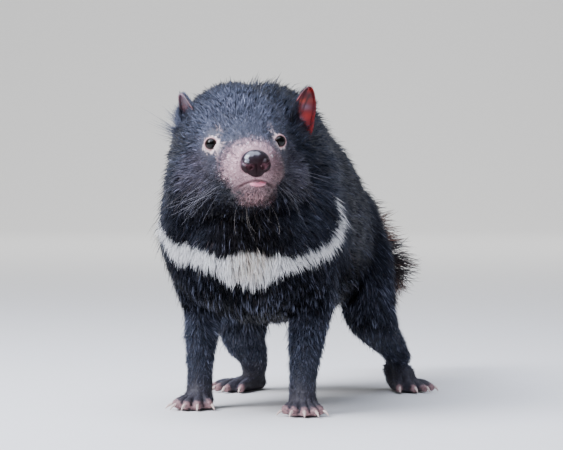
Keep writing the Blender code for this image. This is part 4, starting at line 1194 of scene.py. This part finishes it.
def growCoat(obj, material):
    roots, normals, spots = scattered(skinSurface(obj.data))
    directions, lengths, leans = combed(roots)
    here, head = bodyMm(roots), headMm(roots)
    lies = unit(alongSkin(directions, normals))
    count = len(roots)
    wander = 0.16 * ripple(here, 40, 31) + 0.07 * ripple(here, 14, 32)
    lies = turnedAbout(lies, normals, wander + draw.normal(0, coatValues["turnSpread"], count))
    lengths = lengths * np.exp(draw.normal(0, coatValues["lengthSpread"], count))
    leans = np.radians(leans + draw.normal(0, coatValues["leanSpread"], count) + 3.0 * ripple(here, 14, 33))
    lies, clumpTone = clumped(here, lies, normals, lengths)
    widths = draw.uniform(*coatValues["width"], count) * np.clip(lengths / 11, 0.36, 1.0) ** 0.7
    onFace = inZone(head, "face", 1.5, 0.9)
    widths *= 1 + 0.35 * onFace
    guard = draw.uniform(size=count) < coatValues["guardShare"]
    lengths[guard] *= draw.uniform(*coatValues["guardLonger"], guard.sum())
    widths[guard] *= 0.6
    leans[guard] += np.radians(draw.uniform(*coatValues["guardLean"], guard.sum()))
    # hair may not reach past the eyes or over the mouth's line
    for side in (1, -1):
        lengths *= 0.35 + 0.65 * smoothStep(*eyeValues["shortHair"], fromEye(roots, side))
    off, sides = mouthOff(head)
    lengths *= 0.5 + 0.5 * smoothStep(1.5, 6, np.abs(off) + 10 * (sides > mouth["reach"]) + 10 * (head[:, 1] < 0))
    lengths = np.minimum(lengths, np.maximum(1.2, (here[:, 2] - 1.0) * 1.3))
    colours = hairColours(roots + lies * (0.55 * lengths)[:, None] * mm, normals)
    white = smoothStep(0.4, 0.7, colours.mean(1))
    colours *= (clumpTone ** ((1 - 0.75 * white) * (1 + 1.1 * onFace)))[:, None]
    short = lengths < coatValues["shortBelow"]
    shapes = {"roots": roots, "normals": normals, "lies": lies, "lengths": lengths, "widths": widths, "leans": leans}
    hairs = {**shapes, "colours": colours, "spots": spots}
    for word, chosen, segments, cost in (("short", short, 1, spikeCost), ("long", ~short, 2, tuftCost)):
        index = np.nonzero(chosen)[0]
        index = index[np.argsort(here[index, 1], kind="stable")]
        pieces = math.ceil(len(index) * cost / coatValues["perPiece"])
        for number, part in enumerate(np.array_split(index, pieces), 1):
            share = {key: values[part] for key, values in hairs.items()}
            placed(strandMesh(f"coat_{word}_{number}", segments, **share), material)
        print("coat:", pieces, "pieces of", int(chosen.sum()), word, "tufts")


hairMaterial = coatMaterial()
growCoat(skin, hairMaterial)

# eyes and lids


def eyeMaterial():
    # Wet eyeball: near-black brown iris under a clear cornea, so it takes one hard highlight.
    clear = {"Coat Weight": 0.25, "Coat Roughness": 0.02}
    constants = {"Roughness": 0.04, "IOR": 1.38, "Specular IOR Level": 0.15, **clear}
    material, tree, shader = newMaterial("wetEyeball", constants)
    stops = ((0.30, "040404"), (0.36, "170d08"), (0.46, "1f130b"), (0.52, "070505"), (0.9, "0b0807"))
    finishShader(tree, shader, toneRamp(tree, attribute(tree, "iris"), stops))
    return material


def eyePlace(centre, aim):
    # from millimetres about an eye's axis to the frame's metres
    across = (headTurn @ Vector((0, 0, 1))).cross(aim).normalized()
    turn = Matrix((across, aim.cross(across), aim)).transposed()
    return Matrix.Translation(centre) @ turn.to_4x4() @ Matrix.Scale(mm, 4)


def makeEyes():
    material = eyeMaterial()
    radius, edge = eyeValues["radius"], math.radians(eyeValues["corneaTurn"])
    for side, word in sideNames.items():
        bm = bmesh.new()
        addBall(bm, Matrix.Identity(4), radius, 40, 28)
        iris = []
        for vertex in bm.verts:
            angle = vertex.co.angle(Vector((0, 0, 1)))
            bulge = eyeValues["cornea"] * max(0.0, 1 - (angle / edge) ** 2)
            vertex.co *= 1 + bulge / radius
            iris.append(angle / math.pi * 2)
        bmesh.ops.transform(bm, matrix=eyePlace(*eyes[side]), verts=bm.verts)
        eye = newObject("eyeball_" + word, bm)
        pointLayer(eye.data, "iris", iris)
        placed(eye, material)
        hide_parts("eye_" + word)


lidValues = {
    # angle from the eye's axis in degrees and distance from its middle in mm, inside to outside
    "profile": [(38, 6.6), (42.5, 7.2), (44.5, 7.6), (48, 7.9), (53, 8.0), (61, 7.8), (75, 7.3), (90, 6.7)],
    "wide": 1.05,
    "high": 0.99,
    "stops": ((0.135, "2a1a19"), (0.20, "d3a3a4"), (0.26, "d3a3a4"), (0.42, "4a3d40")),
}


def lidMaterial():
    # Naked rim of the eyelids: thin pink skin, dark along its very edge.
    material, tree, shader = newMaterial("nakedEyelid", {"Roughness": 0.42})
    wrinkle = texture(tree, "Noise", Scale=1100.0, Detail=4.0)["Fac"]
    colour = toneRamp(tree, attribute(tree, "rim"), lidValues["stops"])
    finishShader(tree, shader, colour, wrinkle, 0.35, 0.0004)
    return material


def almond(place, share):
    # pointed towards both corners, flatter over the top, fuller below
    wide = lidValues["wide"] + 0.07 * abs(math.cos(math.atan2(place.y, place.x))) ** 6
    high = lidValues["high"] * (0.95 if place.y > 0 else 1.02)
    fuller = (0.45 if place.y < 0 else 0.1) * math.sin(min(1.0, max(0.0, (share - 44) / 30)) * math.pi)
    return (Matrix.Diagonal((wide, high, 1.0)) @ place).normalized() * (place.length + fuller)


def makeLids():
    material = lidMaterial()
    first, last = lidValues["profile"][0][0], lidValues["profile"][-1][0]
    for side, word in sideNames.items():
        bm = bmesh.new()
        turns = [(math.radians(angle), reach) for angle, reach in lidValues["profile"]]
        line = [bm.verts.new((reach * math.sin(turn), 0, reach * math.cos(turn))) for turn, reach in turns]
        edges = [bm.edges.new(pair) for pair in zip(line, line[1:])]
        bmesh.ops.spin(
            bm, geom=line + edges, axis=(0, 0, 1), cent=(0, 0, 0), angle=2 * math.pi, steps=56, use_merge=True
        )
        bmesh.ops.recalc_face_normals(bm, faces=bm.faces)
        if sum(face.normal.dot(face.calc_center_median()) for face in bm.faces) < 0:
            bmesh.ops.reverse_faces(bm, faces=bm.faces)
        rims = []
        for vertex in bm.verts:
            share = math.degrees(vertex.co.angle(Vector((0, 0, 1))))
            rims.append((share - first) / (last - first))
            vertex.co = almond(vertex.co, share)
        bmesh.ops.transform(bm, matrix=eyePlace(*eyes[side]), verts=bm.verts)
        lid = newObject("eyelids_" + word, bm)
        pointLayer(lid.data, "rim", rims)
        placed(lid, material)


makeEyes()
makeLids()
print("eyes and lids made")

# nose and tongue

noseValues = {
    "centre": (0, 50.5, -21),
    "radii": (13.8, 9.5, 13.2),
    "voxelMm": 0.55,
    "nostril": (6.6, -24.2),  # aside and up
    "nostrilDeep": 5.2,
    "slitDeep": 2.6,
    # bulges that make up the pad: where from the centre, and size in the pad's radii
    "bulges": [
        ((0, -2, 2), (1.0, 1.0, 0.82)),
        ((0, -1, -4), (0.72, 0.92, 0.72)),
        ((0, -5, 4), (0.86, 1.0, 0.66)),
        ((8.28, 0.6, -1.5), (0.42, 0.82, 0.55)),
        ((-8.28, 0.6, -1.5), (0.42, 0.82, 0.55)),
    ],
}


def noseMaterial():
    # Rhinarium: bare wet skin, pebbled in cells about 0.8 mm across, which break up its shine.
    constants = {"Roughness": 0.30, "IOR": 1.45, "Coat Roughness": 0.15, "Coat Tint": rgba("e6ecff")}
    material, tree, shader = newMaterial("wetNosePad", constants)
    cells = texture(tree, "Voronoi", Scale=1150.0, feature="SMOOTH_F1")["Distance"]
    grain = texture(tree, "Noise", Scale=260.0, Detail=2.0)["Fac"]
    pad = twoTone(tree, grain, "1a0f12", "2e1d22")
    finishShader(tree, shader, twoTone(tree, attribute(tree, "nostril"), pad, "6e4a52"), cells, 0.35, 0.00022, True)
    wet = attribute(tree, "wet")
    tree.links.new(wet, shader.inputs["Coat Weight"])
    level = addNode(tree, "Math", {"operation": "MULTIPLY_ADD"}, in0=wet)
    level.inputs[1].default_value, level.inputs[2].default_value = 0.5, 0.05
    tree.links.new(level.outputs["Value"], shader.inputs["Specular IOR Level"])
    return material


def makeNose():
    centre, radii = Vector(noseValues["centre"]), noseValues["radii"]
    bm = bmesh.new()
    for offset, share in noseValues["bulges"]:
        sizes = Matrix.Diagonal((*(radius * part * mm for radius, part in zip(radii, share)), 1.0))
        addBall(bm, Matrix.Translation(onHead(*(centre + Vector(offset)))) @ headTurn.to_4x4() @ sizes)
    nose = newObject("nosePad", bm)
    remeshed(nose, noseValues["voxelMm"], 8)
    places = coordinates(nose.data)
    head = headMm(places)
    sides, up = np.abs(head[:, 0]), head[:, 2]
    front = head[:, 1] > centre.y
    # comma-shaped nostrils: a round hole that runs out sideways and up into a slit
    aside, level = noseValues["nostril"]
    hole = np.exp(-(((sides - aside) / 2.5) ** 2 + ((up - level) / 2.2) ** 2) ** 1.6)
    along = np.clip((sides - aside) / 7.0, 0, 1)
    slit = bell(up - (level + 4.2 * along**1.3), 1.35 - 0.5 * along)
    slit *= smoothStep(5.5, 7.5, sides) * smoothStep(14.5, 12.5, sides)
    dug = np.maximum(hole * noseValues["nostrilDeep"], slit * noseValues["slitDeep"]) * front
    rim = bell(np.hypot((sides - 6.8) / 3.9, (up + 24.0) / 3.3) - 1, 0.22) * front * (1 - hole)
    furrow = bell(head[:, 0], 0.8) * smoothStep(-20, -26, up) * front
    crown = bell(head[:, 0], 2.2) * smoothStep(-22, -14, up) * front
    left, forward = np.array(headTurn.col[0]), np.array(headTurn.col[1])
    places -= forward * (dug + 1.6 * furrow + 0.35 * crown - 0.45 * rim)[:, None] * mm
    places -= left * (np.sign(head[:, 0]) * dug * 0.22)[:, None] * mm
    setCoordinates(nose.data, places)
    addModifier(nose, "SMOOTH", factor=0.4, iterations=2)
    applied(nose)
    pointLayer(nose.data, "nostril", np.clip(dug / noseValues["slitDeep"], 0, 1))
    pointLayer(nose.data, "wet", 0.02 + 0.98 * smoothStep(-22, -15, up - 0.25 * head[:, 0]))
    placed(nose, noseMaterial())
    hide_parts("nose")


tongueValues = {"centre": (0.9, 44.4, -40.0), "radii": (9.6, 9.5, 3.0), "groove": 0.30, "droop": 0.35}


def tongueMaterial():
    # Tongue tip: moist pink flesh with fine papillae.
    constants = {"Roughness": 0.32, "Subsurface Weight": 0.25, "Subsurface Radius": (0.004, 0.0015, 0.001)}
    material, tree, shader = newMaterial("moistTongue", constants)
    papillae = texture(tree, "Voronoi", Scale=1300.0)["Distance"]
    tint = texture(tree, "Noise", Scale=180.0)["Fac"]
    finishShader(tree, shader, twoTone(tree, tint, "c0647c", "e79cae"), papillae, 0.3, 0.0003)
    return material


def makeTongue():
    bm = bmesh.new()
    addBall(bm, Matrix.Identity(4), 1.0, 40, 24)
    for vertex in bm.verts:
        x, y, z = vertex.co
        groove = tongueValues["groove"] * math.exp(-((x / 0.22) ** 2)) * max(0.0, z)
        vertex.co.z = z - groove - tongueValues["droop"] * max(0.0, y) ** 2
        vertex.co.x = x * (1 - 0.12 * max(0.0, y))
    sizes = Matrix.Diagonal((*(radius * mm for radius in tongueValues["radii"]), 1.0))
    place = Matrix.Translation(onHead(*tongueValues["centre"])) @ headTurn.to_4x4() @ sizes
    bmesh.ops.transform(bm, matrix=place, verts=bm.verts)
    tongue = newObject("tongueTip", bm)
    placed(tongue, tongueMaterial())
    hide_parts("tongue")


makeNose()
makeTongue()
print("nose and tongue made")

# ears

earValues = {
    "height": 48.0,
    "width": 32.0,
    "cup": 10.0,
    "wall": 1.5,
    "ear_left": {
        "base": (62, -62, 7),
        "tip": (0.26, -0.14, 0.95),
        "back": (0.84, -0.50, -0.22),
        "lilac": 0.0,
        # painted shade: this ear's fur and hair darker, as it lies in shadow
        "fur": "1a1a20",
        "hair": "24242c",
        "furSlope": (1.0, 2.07, 0.4662),  # share of the way back, slope and start of the fur's line
        "edgeHair": (0.5, 0.3, 0.2),  # thickness, lean outward and extra length along the edge
        "frontHair": (0.55, 1.0),  # lean back and extra length in the front of the hollow
    },
    "ear_right": {
        "base": (-36, -68, 6),
        "tip": (-0.22, -0.20, 0.95),
        "back": (-0.30, -0.94, -0.12),
        "lilac": 0.75,
        # painted light: this ear's fur and hair lighter, as it is lit
        "fur": "3a3d4a",
        "hair": "3e414e",
        "furSlope": (0.0, 1.0, 0.25),
        "edgeHair": (3.4, 1.4, 1.5),
        "frontHair": (0.0, 1.7),
    },
    # ridges inside the cup: place across, lean and height
    "folds": ((-0.52, 0.30, 2.0), (-0.22, 0.28, 1.6), (0.12, 0.10, 1.1)),
    "stripes": ((-0.72, 0.42), (-0.40, 0.36), (-0.95, 0.50), (0.05, 0.22)),
    # painted patches of light through the ear: colour, strength, place and width across, tilt, place and height along
    "patches": (
        ("5a1824", 0.9, -0.25, 0.60, 0.0, 0.90, 0.10),
        ("c9503c", 0.95, -0.15, 0.55, 0.10, 0.71, 0.055),
        ("9a7488", 0.9, 0.26, 0.26, 0.0, 0.62, 0.06),
        ("c2322e", 0.9, 0.50, 0.26, 0.0, 0.44, 0.10),
        ("a87d90", 0.85, 0.20, 0.24, 0.0, 0.33, 0.07),
    ),
}


def earMaterial():
    # Ear leather: thin bare skin, lilac-pink inside, dark along its folds, red where light comes through the rim,
    # painted on as well as from the skin's subsurface.
    constants = {"Roughness": 0.48, "Subsurface Weight": 0.35, "Subsurface Radius": (0.004, 0.001, 0.0008)}
    material, tree, shader = newMaterial("bareEarSkin", constants)
    grain = texture(tree, "Noise", Scale=420.0, Detail=4.0)["Fac"]
    veins = texture(tree, "Noise", Scale=130.0, Distortion=2.0)["Fac"]
    colour = scaled(tree, attribute(tree, "markings", "Color"), veins, 0.75, 1.2)
    finishShader(tree, shader, colour, grain, 0.4, 0.0005)
    return material


def earAxes(name):
    # towards the tip and towards the back edge
    values = earValues[name]
    return (headTurn @ Vector(values["tip"])).normalized(), (headTurn @ Vector(values["back"])).normalized()


def makeEar(name, material):
    tip, back = earAxes(name)
    back = (back - tip * back.dot(tip)).normalized()
    hollow = back.cross(tip) if name == "ear_left" else tip.cross(back)
    base = onHead(*earValues[name]["base"])
    bm = bmesh.new()
    bmesh.ops.create_grid(bm, x_segments=36, y_segments=44, size=1.0)
    grid = [(vertex.co.x, (vertex.co.y + 1) / 2) for vertex in bm.verts]
    for vertex, (share, rise) in zip(bm.verts, grid):
        roundTip = math.sqrt(max(0.0, 1 - (rise * 0.999) ** 3.2))
        half = earValues["width"] / 2 * roundTip * (0.80 + 0.76 * rise * (1 - rise))
        half *= 1 + 0.020 * math.sin(17 * rise + 2.0 * share) * abs(share)
        depth = earValues["cup"] * (1 - share * share) * (1 - 0.86 * rise**1.6) - 2.0 * rise
        flare = 2.5 * share * share * rise
        curl = 1.7 * smoothStep(0.80, 1.0, abs(share)) * (1 - 0.4 * rise)
        ridges = sum(tall * bell(share - where - lean * rise, 0.085) for where, lean, tall in earValues["folds"])
        folds = ridges * smoothStep(0.02, 0.25, rise) * (1 - smoothStep(0.55, 0.85, rise))
        along = earValues["height"] * rise - 12 * share * (1 - rise) ** 2 - 4.0 * (1 - rise)
        inward = -np.sign(share) * 0.9 * smoothStep(0.86, 1.0, abs(share))
        offset = back * (half * share + inward) + tip * along
        vertex.co = base + (offset + hollow * (flare - depth + curl + folds)) * mm
    bmesh.ops.recalc_face_normals(bm, faces=bm.faces)
    ear = newObject(name + "_leather", bm)
    spots = ear.data.uv_layers.new(name="earSpread")
    for loop in ear.data.loops:
        share, rise = grid[loop.vertex_index]
        spots.data[loop.index].uv = (share * 0.47 + 0.5, rise * 0.96 + 0.02)
    addModifier(ear, "SOLIDIFY", thickness=earValues["wall"] * mm, offset=0.0, use_even_offset=True)
    addModifier(ear, "SMOOTH", factor=0.5, iterations=2)
    applied(ear)
    paintEar(ear, name, base, tip, back, hollow)
    placed(ear, material)
    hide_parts(name)
    return ear, hollow


def earShares(places, base, tip, back):
    # how far across an ear, -1 at its front edge to 1 at its back, and how far along it
    offset = (places - np.array(base)) / mm
    return offset @ np.array(back) / (earValues["width"] * 0.5), offset @ np.array(tip) / earValues["height"]


def furredAt(name, share, rise):
    # the front of the hollow is hidden by fur, further up towards the front edge
    across, slope, start = earValues[name]["furSlope"]
    return smoothStep(0.10, -0.10, across * share + slope * rise - start)


def paintEar(ear, name, base, tip, back, hollow):
    share, rise = earShares(coordinates(ear.data), base, tip, back)
    values = earValues[name]
    colour = np.tile(linear("7c2029"), (len(rise), 1))
    for tint, amount, middle, wide, tilt, middleTall, tall in earValues["patches"]:
        patch = np.exp(-(((share - middle) / wide) ** 2 + ((rise - tilt * share - middleTall) / tall) ** 2))
        colour = mixed(colour, linear(tint), patch * amount)
    for where, lean in earValues["stripes"]:
        stripe = bell(share - where - lean * rise, 0.07) * smoothStep(0.50, 0.62, rise)
        colour = mixed(colour, linear("2a1119"), stripe * 0.8)
    # painted glow: the rim red where light comes through
    rim = np.maximum(smoothStep(0.72, 0.95, share), smoothStep(0.86, 0.98, rise) * (share > 0))
    colour = mixed(colour, linear("b02220"), rim * 0.9)
    colour = mixed(colour, linear("2c2329"), np.full(len(rise), values["lilac"]))
    colour = mixed(colour, linear("8d7685"), values["lilac"] * bell(share + 0.05, 0.42))
    # the furred part takes its ear's fur tone, with its painted light and shade
    colour = mixed(colour, linear(values["fur"]), furredAt(name, share, rise))
    outside = smoothStep(0.1, -0.3, vertexNormals(ear.data) @ np.array(hollow))
    colour = mixed(colour, linear("241a1d"), outside * 0.93)
    pointLayer(ear.data, "markings", colour)


def growEarHair(name, ear, hollow, material):
    # short dark hair on the back of the ear and along its edges, a few long ones inside the front edge
    surface = skinSurface(ear.data)
    middle, facing, area = faceValues(surface)
    values = earValues[name]
    tip, back = (np.array(axis) for axis in earAxes(name))
    share, rise = earShares(middle, onHead(*values["base"]), tip, back)
    inner = facing @ np.array(hollow)
    edge = smoothStep(0.72, 0.92, np.abs(share)) * smoothStep(0.9, 0.5, rise)
    low = furredAt(name, share, rise) * (inner > 0)
    thick, outward, edgeLonger = values["edgeHair"]
    lean, frontLonger = values["frontHair"]
    weight = area * (1.3 * smoothStep(0.0, -0.4, inner) + thick * edge + 1.9 * low)
    number = int(np.cumsum(weight)[-1])
    chosen = spreadPicks(weight, number)
    facing, share, edge, low = facing[chosen], share[chosen], edge[chosen], low[chosen]
    aside = share * 0.5 + np.sign(share) * edge * outward + lean * low
    along = tip[None, :] + back[None, :] * aside[:, None] + draw.normal(0, 0.16, (number, 3))
    lengths = np.where(inner[chosen] < 0, 4.2, 5.0) * np.exp(draw.normal(0, 0.2, number))
    lengths *= (1 + frontLonger * low) * (1 + edgeLonger * edge)
    # this ear's hair tone carries its painted light and shade
    tones = np.tile(linear(values["hair"]), (number, 1)) * np.exp(draw.normal(0, 0.4, number))[:, None]
    hair = strandMesh(
        name + "_hair",
        segments=2,
        roots=middle[chosen],
        normals=facing,
        lies=unit(alongSkin(along, facing)),
        lengths=lengths,
        widths=draw.uniform(0.22, 0.42, number),
        leans=np.radians(draw.uniform(14, 34, number)),
        colours=tones,
        spots=surface[3].mean(1)[chosen],
    )
    placed(hair, material)


earSkin = earMaterial()
ears = {name: makeEar(name, earSkin) for name in ("ear_left", "ear_right")}
for name, (ear, hollow) in ears.items():
    growEarHair(name, ear, hollow, hairMaterial)
print("ears made")

# claws


def makeClaws():
    # Horn: pale keratin, streaked along its length.
    bm = bmesh.new()
    for name in clawNodes:
        addSolid(bm, name)
    claws = newObject("claws", bm)
    addModifier(claws, "SUBSURF", levels=2, render_levels=2)
    applied(claws)
    material, tree, shader = newMaterial("keratinClaw", {"Roughness": 0.36, "IOR": 1.54})
    streak = texture(tree, "Noise", Scale=340.0, Detail=4.0)["Fac"]
    finishShader(tree, shader, twoTone(tree, streak, "a8827a", "efe0d6"), streak, 0.25, 0.0003)
    placed(claws, material)
    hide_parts(*clawNodes)


makeClaws()
print("claws made")

# tail bristles, whiskers and other long hairs

bristleValues = {
    "count": 2300,
    "length": (37.0, 46.0),  # at the tail's root and at its tip, as for the lean
    "longest": 50.0,
    "lean": (42.0, 28.0),
    "width": (0.45, 0.95),
    "locks": 110,
    "pull": 2.6,
    "black": "211a1b",
    "brown": "5c443b",
    "brownShare": 0.55,
}


def growBristles(obj, material):
    surface = skinSurface(obj.data)
    middle, facing, area = faceValues(surface)
    back = bodyMm(middle)[:, 1]
    thick = 1 + 1.5 * smoothStep(*tail["thickBristles"], back)
    running = np.cumsum(area * smoothStep(*tail["bristles"], back) * thick)
    count, locks = bristleValues["count"], bristleValues["locks"]
    chosen = np.searchsorted(running, draw.uniform(size=count) * running[-1])
    roots, facing = middle[chosen], facing[chosen]
    here = bodyMm(roots)
    lies = unit(alongSkin(combed(roots)[0], facing))
    lies = turnedAbout(lies, facing, draw.normal(0, 0.16, count) + 0.2 * ripple(here, 16, 41))
    share = np.clip((here[:, 1] - 350) / 160, 0, 1)
    leaders = draw.choice(count, locks, replace=False)
    nearest = ((here[:, None, :] - here[leaders][None, :, :]) ** 2).sum(2).argmin(1)
    lies = unit(lies * 36 + bristleValues["pull"] * alongSkin(here[leaders][nearest] - here, facing))
    lockLean = draw.normal(0, 9, locks)[nearest]
    (short, long), (steep, flat) = bristleValues["length"], bristleValues["lean"]
    lengths = (short + (long - short) * share) * np.exp(draw.normal(0, 0.17, count))
    leans = np.radians(steep + (flat - steep) * share + lockLean + draw.normal(0, 3, count))
    tones = np.tile(linear(bristleValues["black"]), (count, 1)) * np.exp(draw.normal(0, 0.35, count))[:, None]
    brown = draw.uniform(size=locks)[nearest] < bristleValues["brownShare"]
    tones[brown] = np.array(linear(bristleValues["brown"])) * np.exp(draw.normal(0, 0.25, brown.sum()))[:, None]
    bristles = strandMesh(
        "tailBristles",
        segments=4,
        roots=roots,
        normals=facing,
        lies=lies,
        lengths=np.minimum(lengths, bristleValues["longest"]),
        widths=draw.uniform(*bristleValues["width"], count),
        leans=leans,
        colours=tones,
        spots=surface[3][chosen].mean(1),
    )
    placed(bristles, material)


whiskerValues = {
    # start on the head in mm, direction in the head's axes, length in mm, spread, how many, colour
    "groups": [
        ((24, 22, -28), (0.82, -0.45, -0.50), 62, 0.24, 11, "7b7a83"),
        ((23, 24, -34), (0.78, -0.35, -0.68), 55, 0.24, 9, "1d191b"),
        ((25, 14, -36), (0.78, -0.55, -0.66), 60, 0.24, 10, "8b8a92"),
        ((34, 0, -40), (0.70, -0.60, -0.60), 50, 0.26, 9, "86858d"),
        ((27, -4, 15), (0.45, 0.25, 0.95), 34, 0.22, 5, "3a363a"),
        ((48, -20, -36), (0.72, -0.45, -0.60), 40, 0.25, 7, "77706e"),
        ((6, 22, -60), (0.12, 0.10, -1.0), 40, 0.24, 4, "b0a9a4"),
        ((8, 40, -56), (0.35, 0.35, -0.9), 10, 0.25, 5, "8a807e"),
    ],
    "width": 0.165,
    "scatter": 4.6,  # of the roots, in mm
}


def growWhiskers(obj, material):
    bm = bmesh.new()
    bm.from_mesh(obj.data)
    tree = BVHTree.FromBMesh(bm)
    bm.free()
    rows = []
    for (left, forward, up), aim, length, spread, count, colour in whiskerValues["groups"]:
        for side in [1] * count + [-1] * count:
            start = np.array((side * left, forward, up)) + draw.normal(0, whiskerValues["scatter"], 3) * (1, 1.6, 1)
            place, normal, _, _ = tree.find_nearest(onHead(*start))
            normal = np.array(normal)
            way = headTurnArray @ (np.array((side * aim[0], aim[1], aim[2])) + draw.normal(0, spread, 3))
            way /= np.linalg.norm(way)
            raised = float(way @ normal)
            reach = length * draw.uniform(0.6, 1.15)
            tone = np.array(linear(colour)) * draw.uniform(0.6, 1.3)
            rise = math.asin(max(0.10, min(0.95, raised)))
            rows.append((np.array(place), normal, way - normal * raised, reach, rise, tone))
    roots, normals, lies, lengths, leans, tones = (np.array(column) for column in zip(*rows))
    places, _, corners, spots = skinSurface(obj.data)
    middle = places[corners].mean(1)
    nearest = [int(((middle - root) ** 2).sum(1).argmin()) for root in roots]
    whiskers = strandMesh(
        "whiskers",
        segments=9,
        roots=roots,
        normals=normals,
        lies=unit(lies),
        lengths=lengths,
        widths=np.full(len(roots), whiskerValues["width"]),
        leans=leans,
        colours=tones,
        spots=spots[nearest].mean(1),
    )
    placed(whiskers, material)


growBristles(skin, hairMaterial)
growWhiskers(skin, hairMaterial)
print("bristles and whiskers made")

# stage, light and camera

viewTurn = math.radians(17.0)  # the photograph's view, to the animal's left of its nose
viewRight = Vector((math.cos(viewTurn), math.sin(viewTurn), 0))
viewAhead = Vector((-math.sin(viewTurn), math.cos(viewTurn), 0))


def alongView(right, ahead, up):
    # metres to the right of, beyond and above the animal, as the camera sees it
    return viewRight * right + viewAhead * ahead + Vector((0, 0, up))


def makeStage():
    # Seamless studio sweep: matte paper, flat under the animal and curving up behind it.
    values = {"halfWidth": 14.0, "front": -12.0, "bend": 7.0, "radius": 5.0, "top": 9.0, "steps": 32}
    bend, radius = values["bend"], values["radius"]
    turns = [math.pi / 2 * step / values["steps"] for step in range(values["steps"] + 1)]
    line = [(bend + radius * math.sin(turn), radius * (1 - math.cos(turn))) for turn in turns]
    line = [(values["front"], 0.0)] + line + [(bend + radius, values["top"])]
    bm = bmesh.new()
    start = [bm.verts.new(alongView(-values["halfWidth"], ahead, up)) for ahead, up in line]
    edges = [bm.edges.new(pair) for pair in zip(start, start[1:])]
    made = bmesh.ops.extrude_edge_only(bm, edges=edges)["geom"]
    moved = [part for part in made if isinstance(part, bmesh.types.BMVert)]
    bmesh.ops.translate(bm, verts=moved, vec=alongView(2 * values["halfWidth"], 0, 0))
    bmesh.ops.recalc_face_normals(bm, faces=bm.faces)
    if min(bm.faces, key=lambda face: face.calc_center_median().z).normal.z < 0:
        bmesh.ops.reverse_faces(bm, faces=bm.faces)
    sweep = newObject("studioSweep", bm)
    sweep.data.shade_smooth()
    material, tree, shader = newMaterial("mattePaper", {"Roughness": 0.85})
    fibre = texture(tree, "Noise", Scale=60.0, Detail=3.0)["Fac"]
    finishShader(tree, shader, twoTone(tree, fibre, "e4e3e1", "e9e8e6"))
    sweep.data.materials.append(material)
    world = bpy.data.worlds.new("studio")
    bpy.context.scene.world = world
    world.use_nodes = True
    background = world.node_tree.nodes["Background"]
    background.inputs["Color"].default_value = rgba("e3e8f2")
    background.inputs["Strength"].default_value = 0.23


def softLight(name, place, target, size, power, colour):
    light = bpy.data.lights.new(name, "AREA")
    light.shape = "RECTANGLE"
    light.size, light.size_y = size
    light.energy = power
    light.color = linear(colour)
    obj = linked(name, light)
    obj.location = alongView(*place)
    obj.rotation_euler = (alongView(*target) - obj.location).to_track_quat("-Z", "Y").to_euler()


def makeLights():
    softLight("keySoftbox", (-1.6, -1.1, 1.8), (0, -0.1, 0.2), (1.3, 1.3), 116, "f2f4ff")
    softLight("topSoftbox", (-0.4, -0.5, 2.1), (0, -0.05, 0.2), (2.4, 1.9), 98, "e2eaff")
    softLight("backdropWash", (0, 4.2, 5.2), (0, 9.2, 0.3), (7.0, 1.6), 560, "ffffff")


def makeCamera():
    # The photograph's view, in mm, and in pixels of its width for the lens and the horizon.
    values = {"distance": 2400.0, "aside": 40.0, "height": 240.0, "focal": 2448.0, "horizon": 54.3, "width": 563}
    camera = linked("camera", bpy.data.cameras.new("camera"))
    camera.location = alongView(values["aside"], -values["distance"], values["height"]) * mm + bodyShift
    camera.data.sensor_width = 36.0
    camera.data.lens = values["focal"] / values["width"] * camera.data.sensor_width
    dip = math.atan(values["horizon"] / values["focal"])
    camera.rotation_euler = alongView(0, math.cos(dip), -math.sin(dip)).to_track_quat("-Z", "Y").to_euler()
    camera.data.clip_end = 100
    bpy.context.scene.camera = camera


makeStage()
makeLights()
makeCamera()
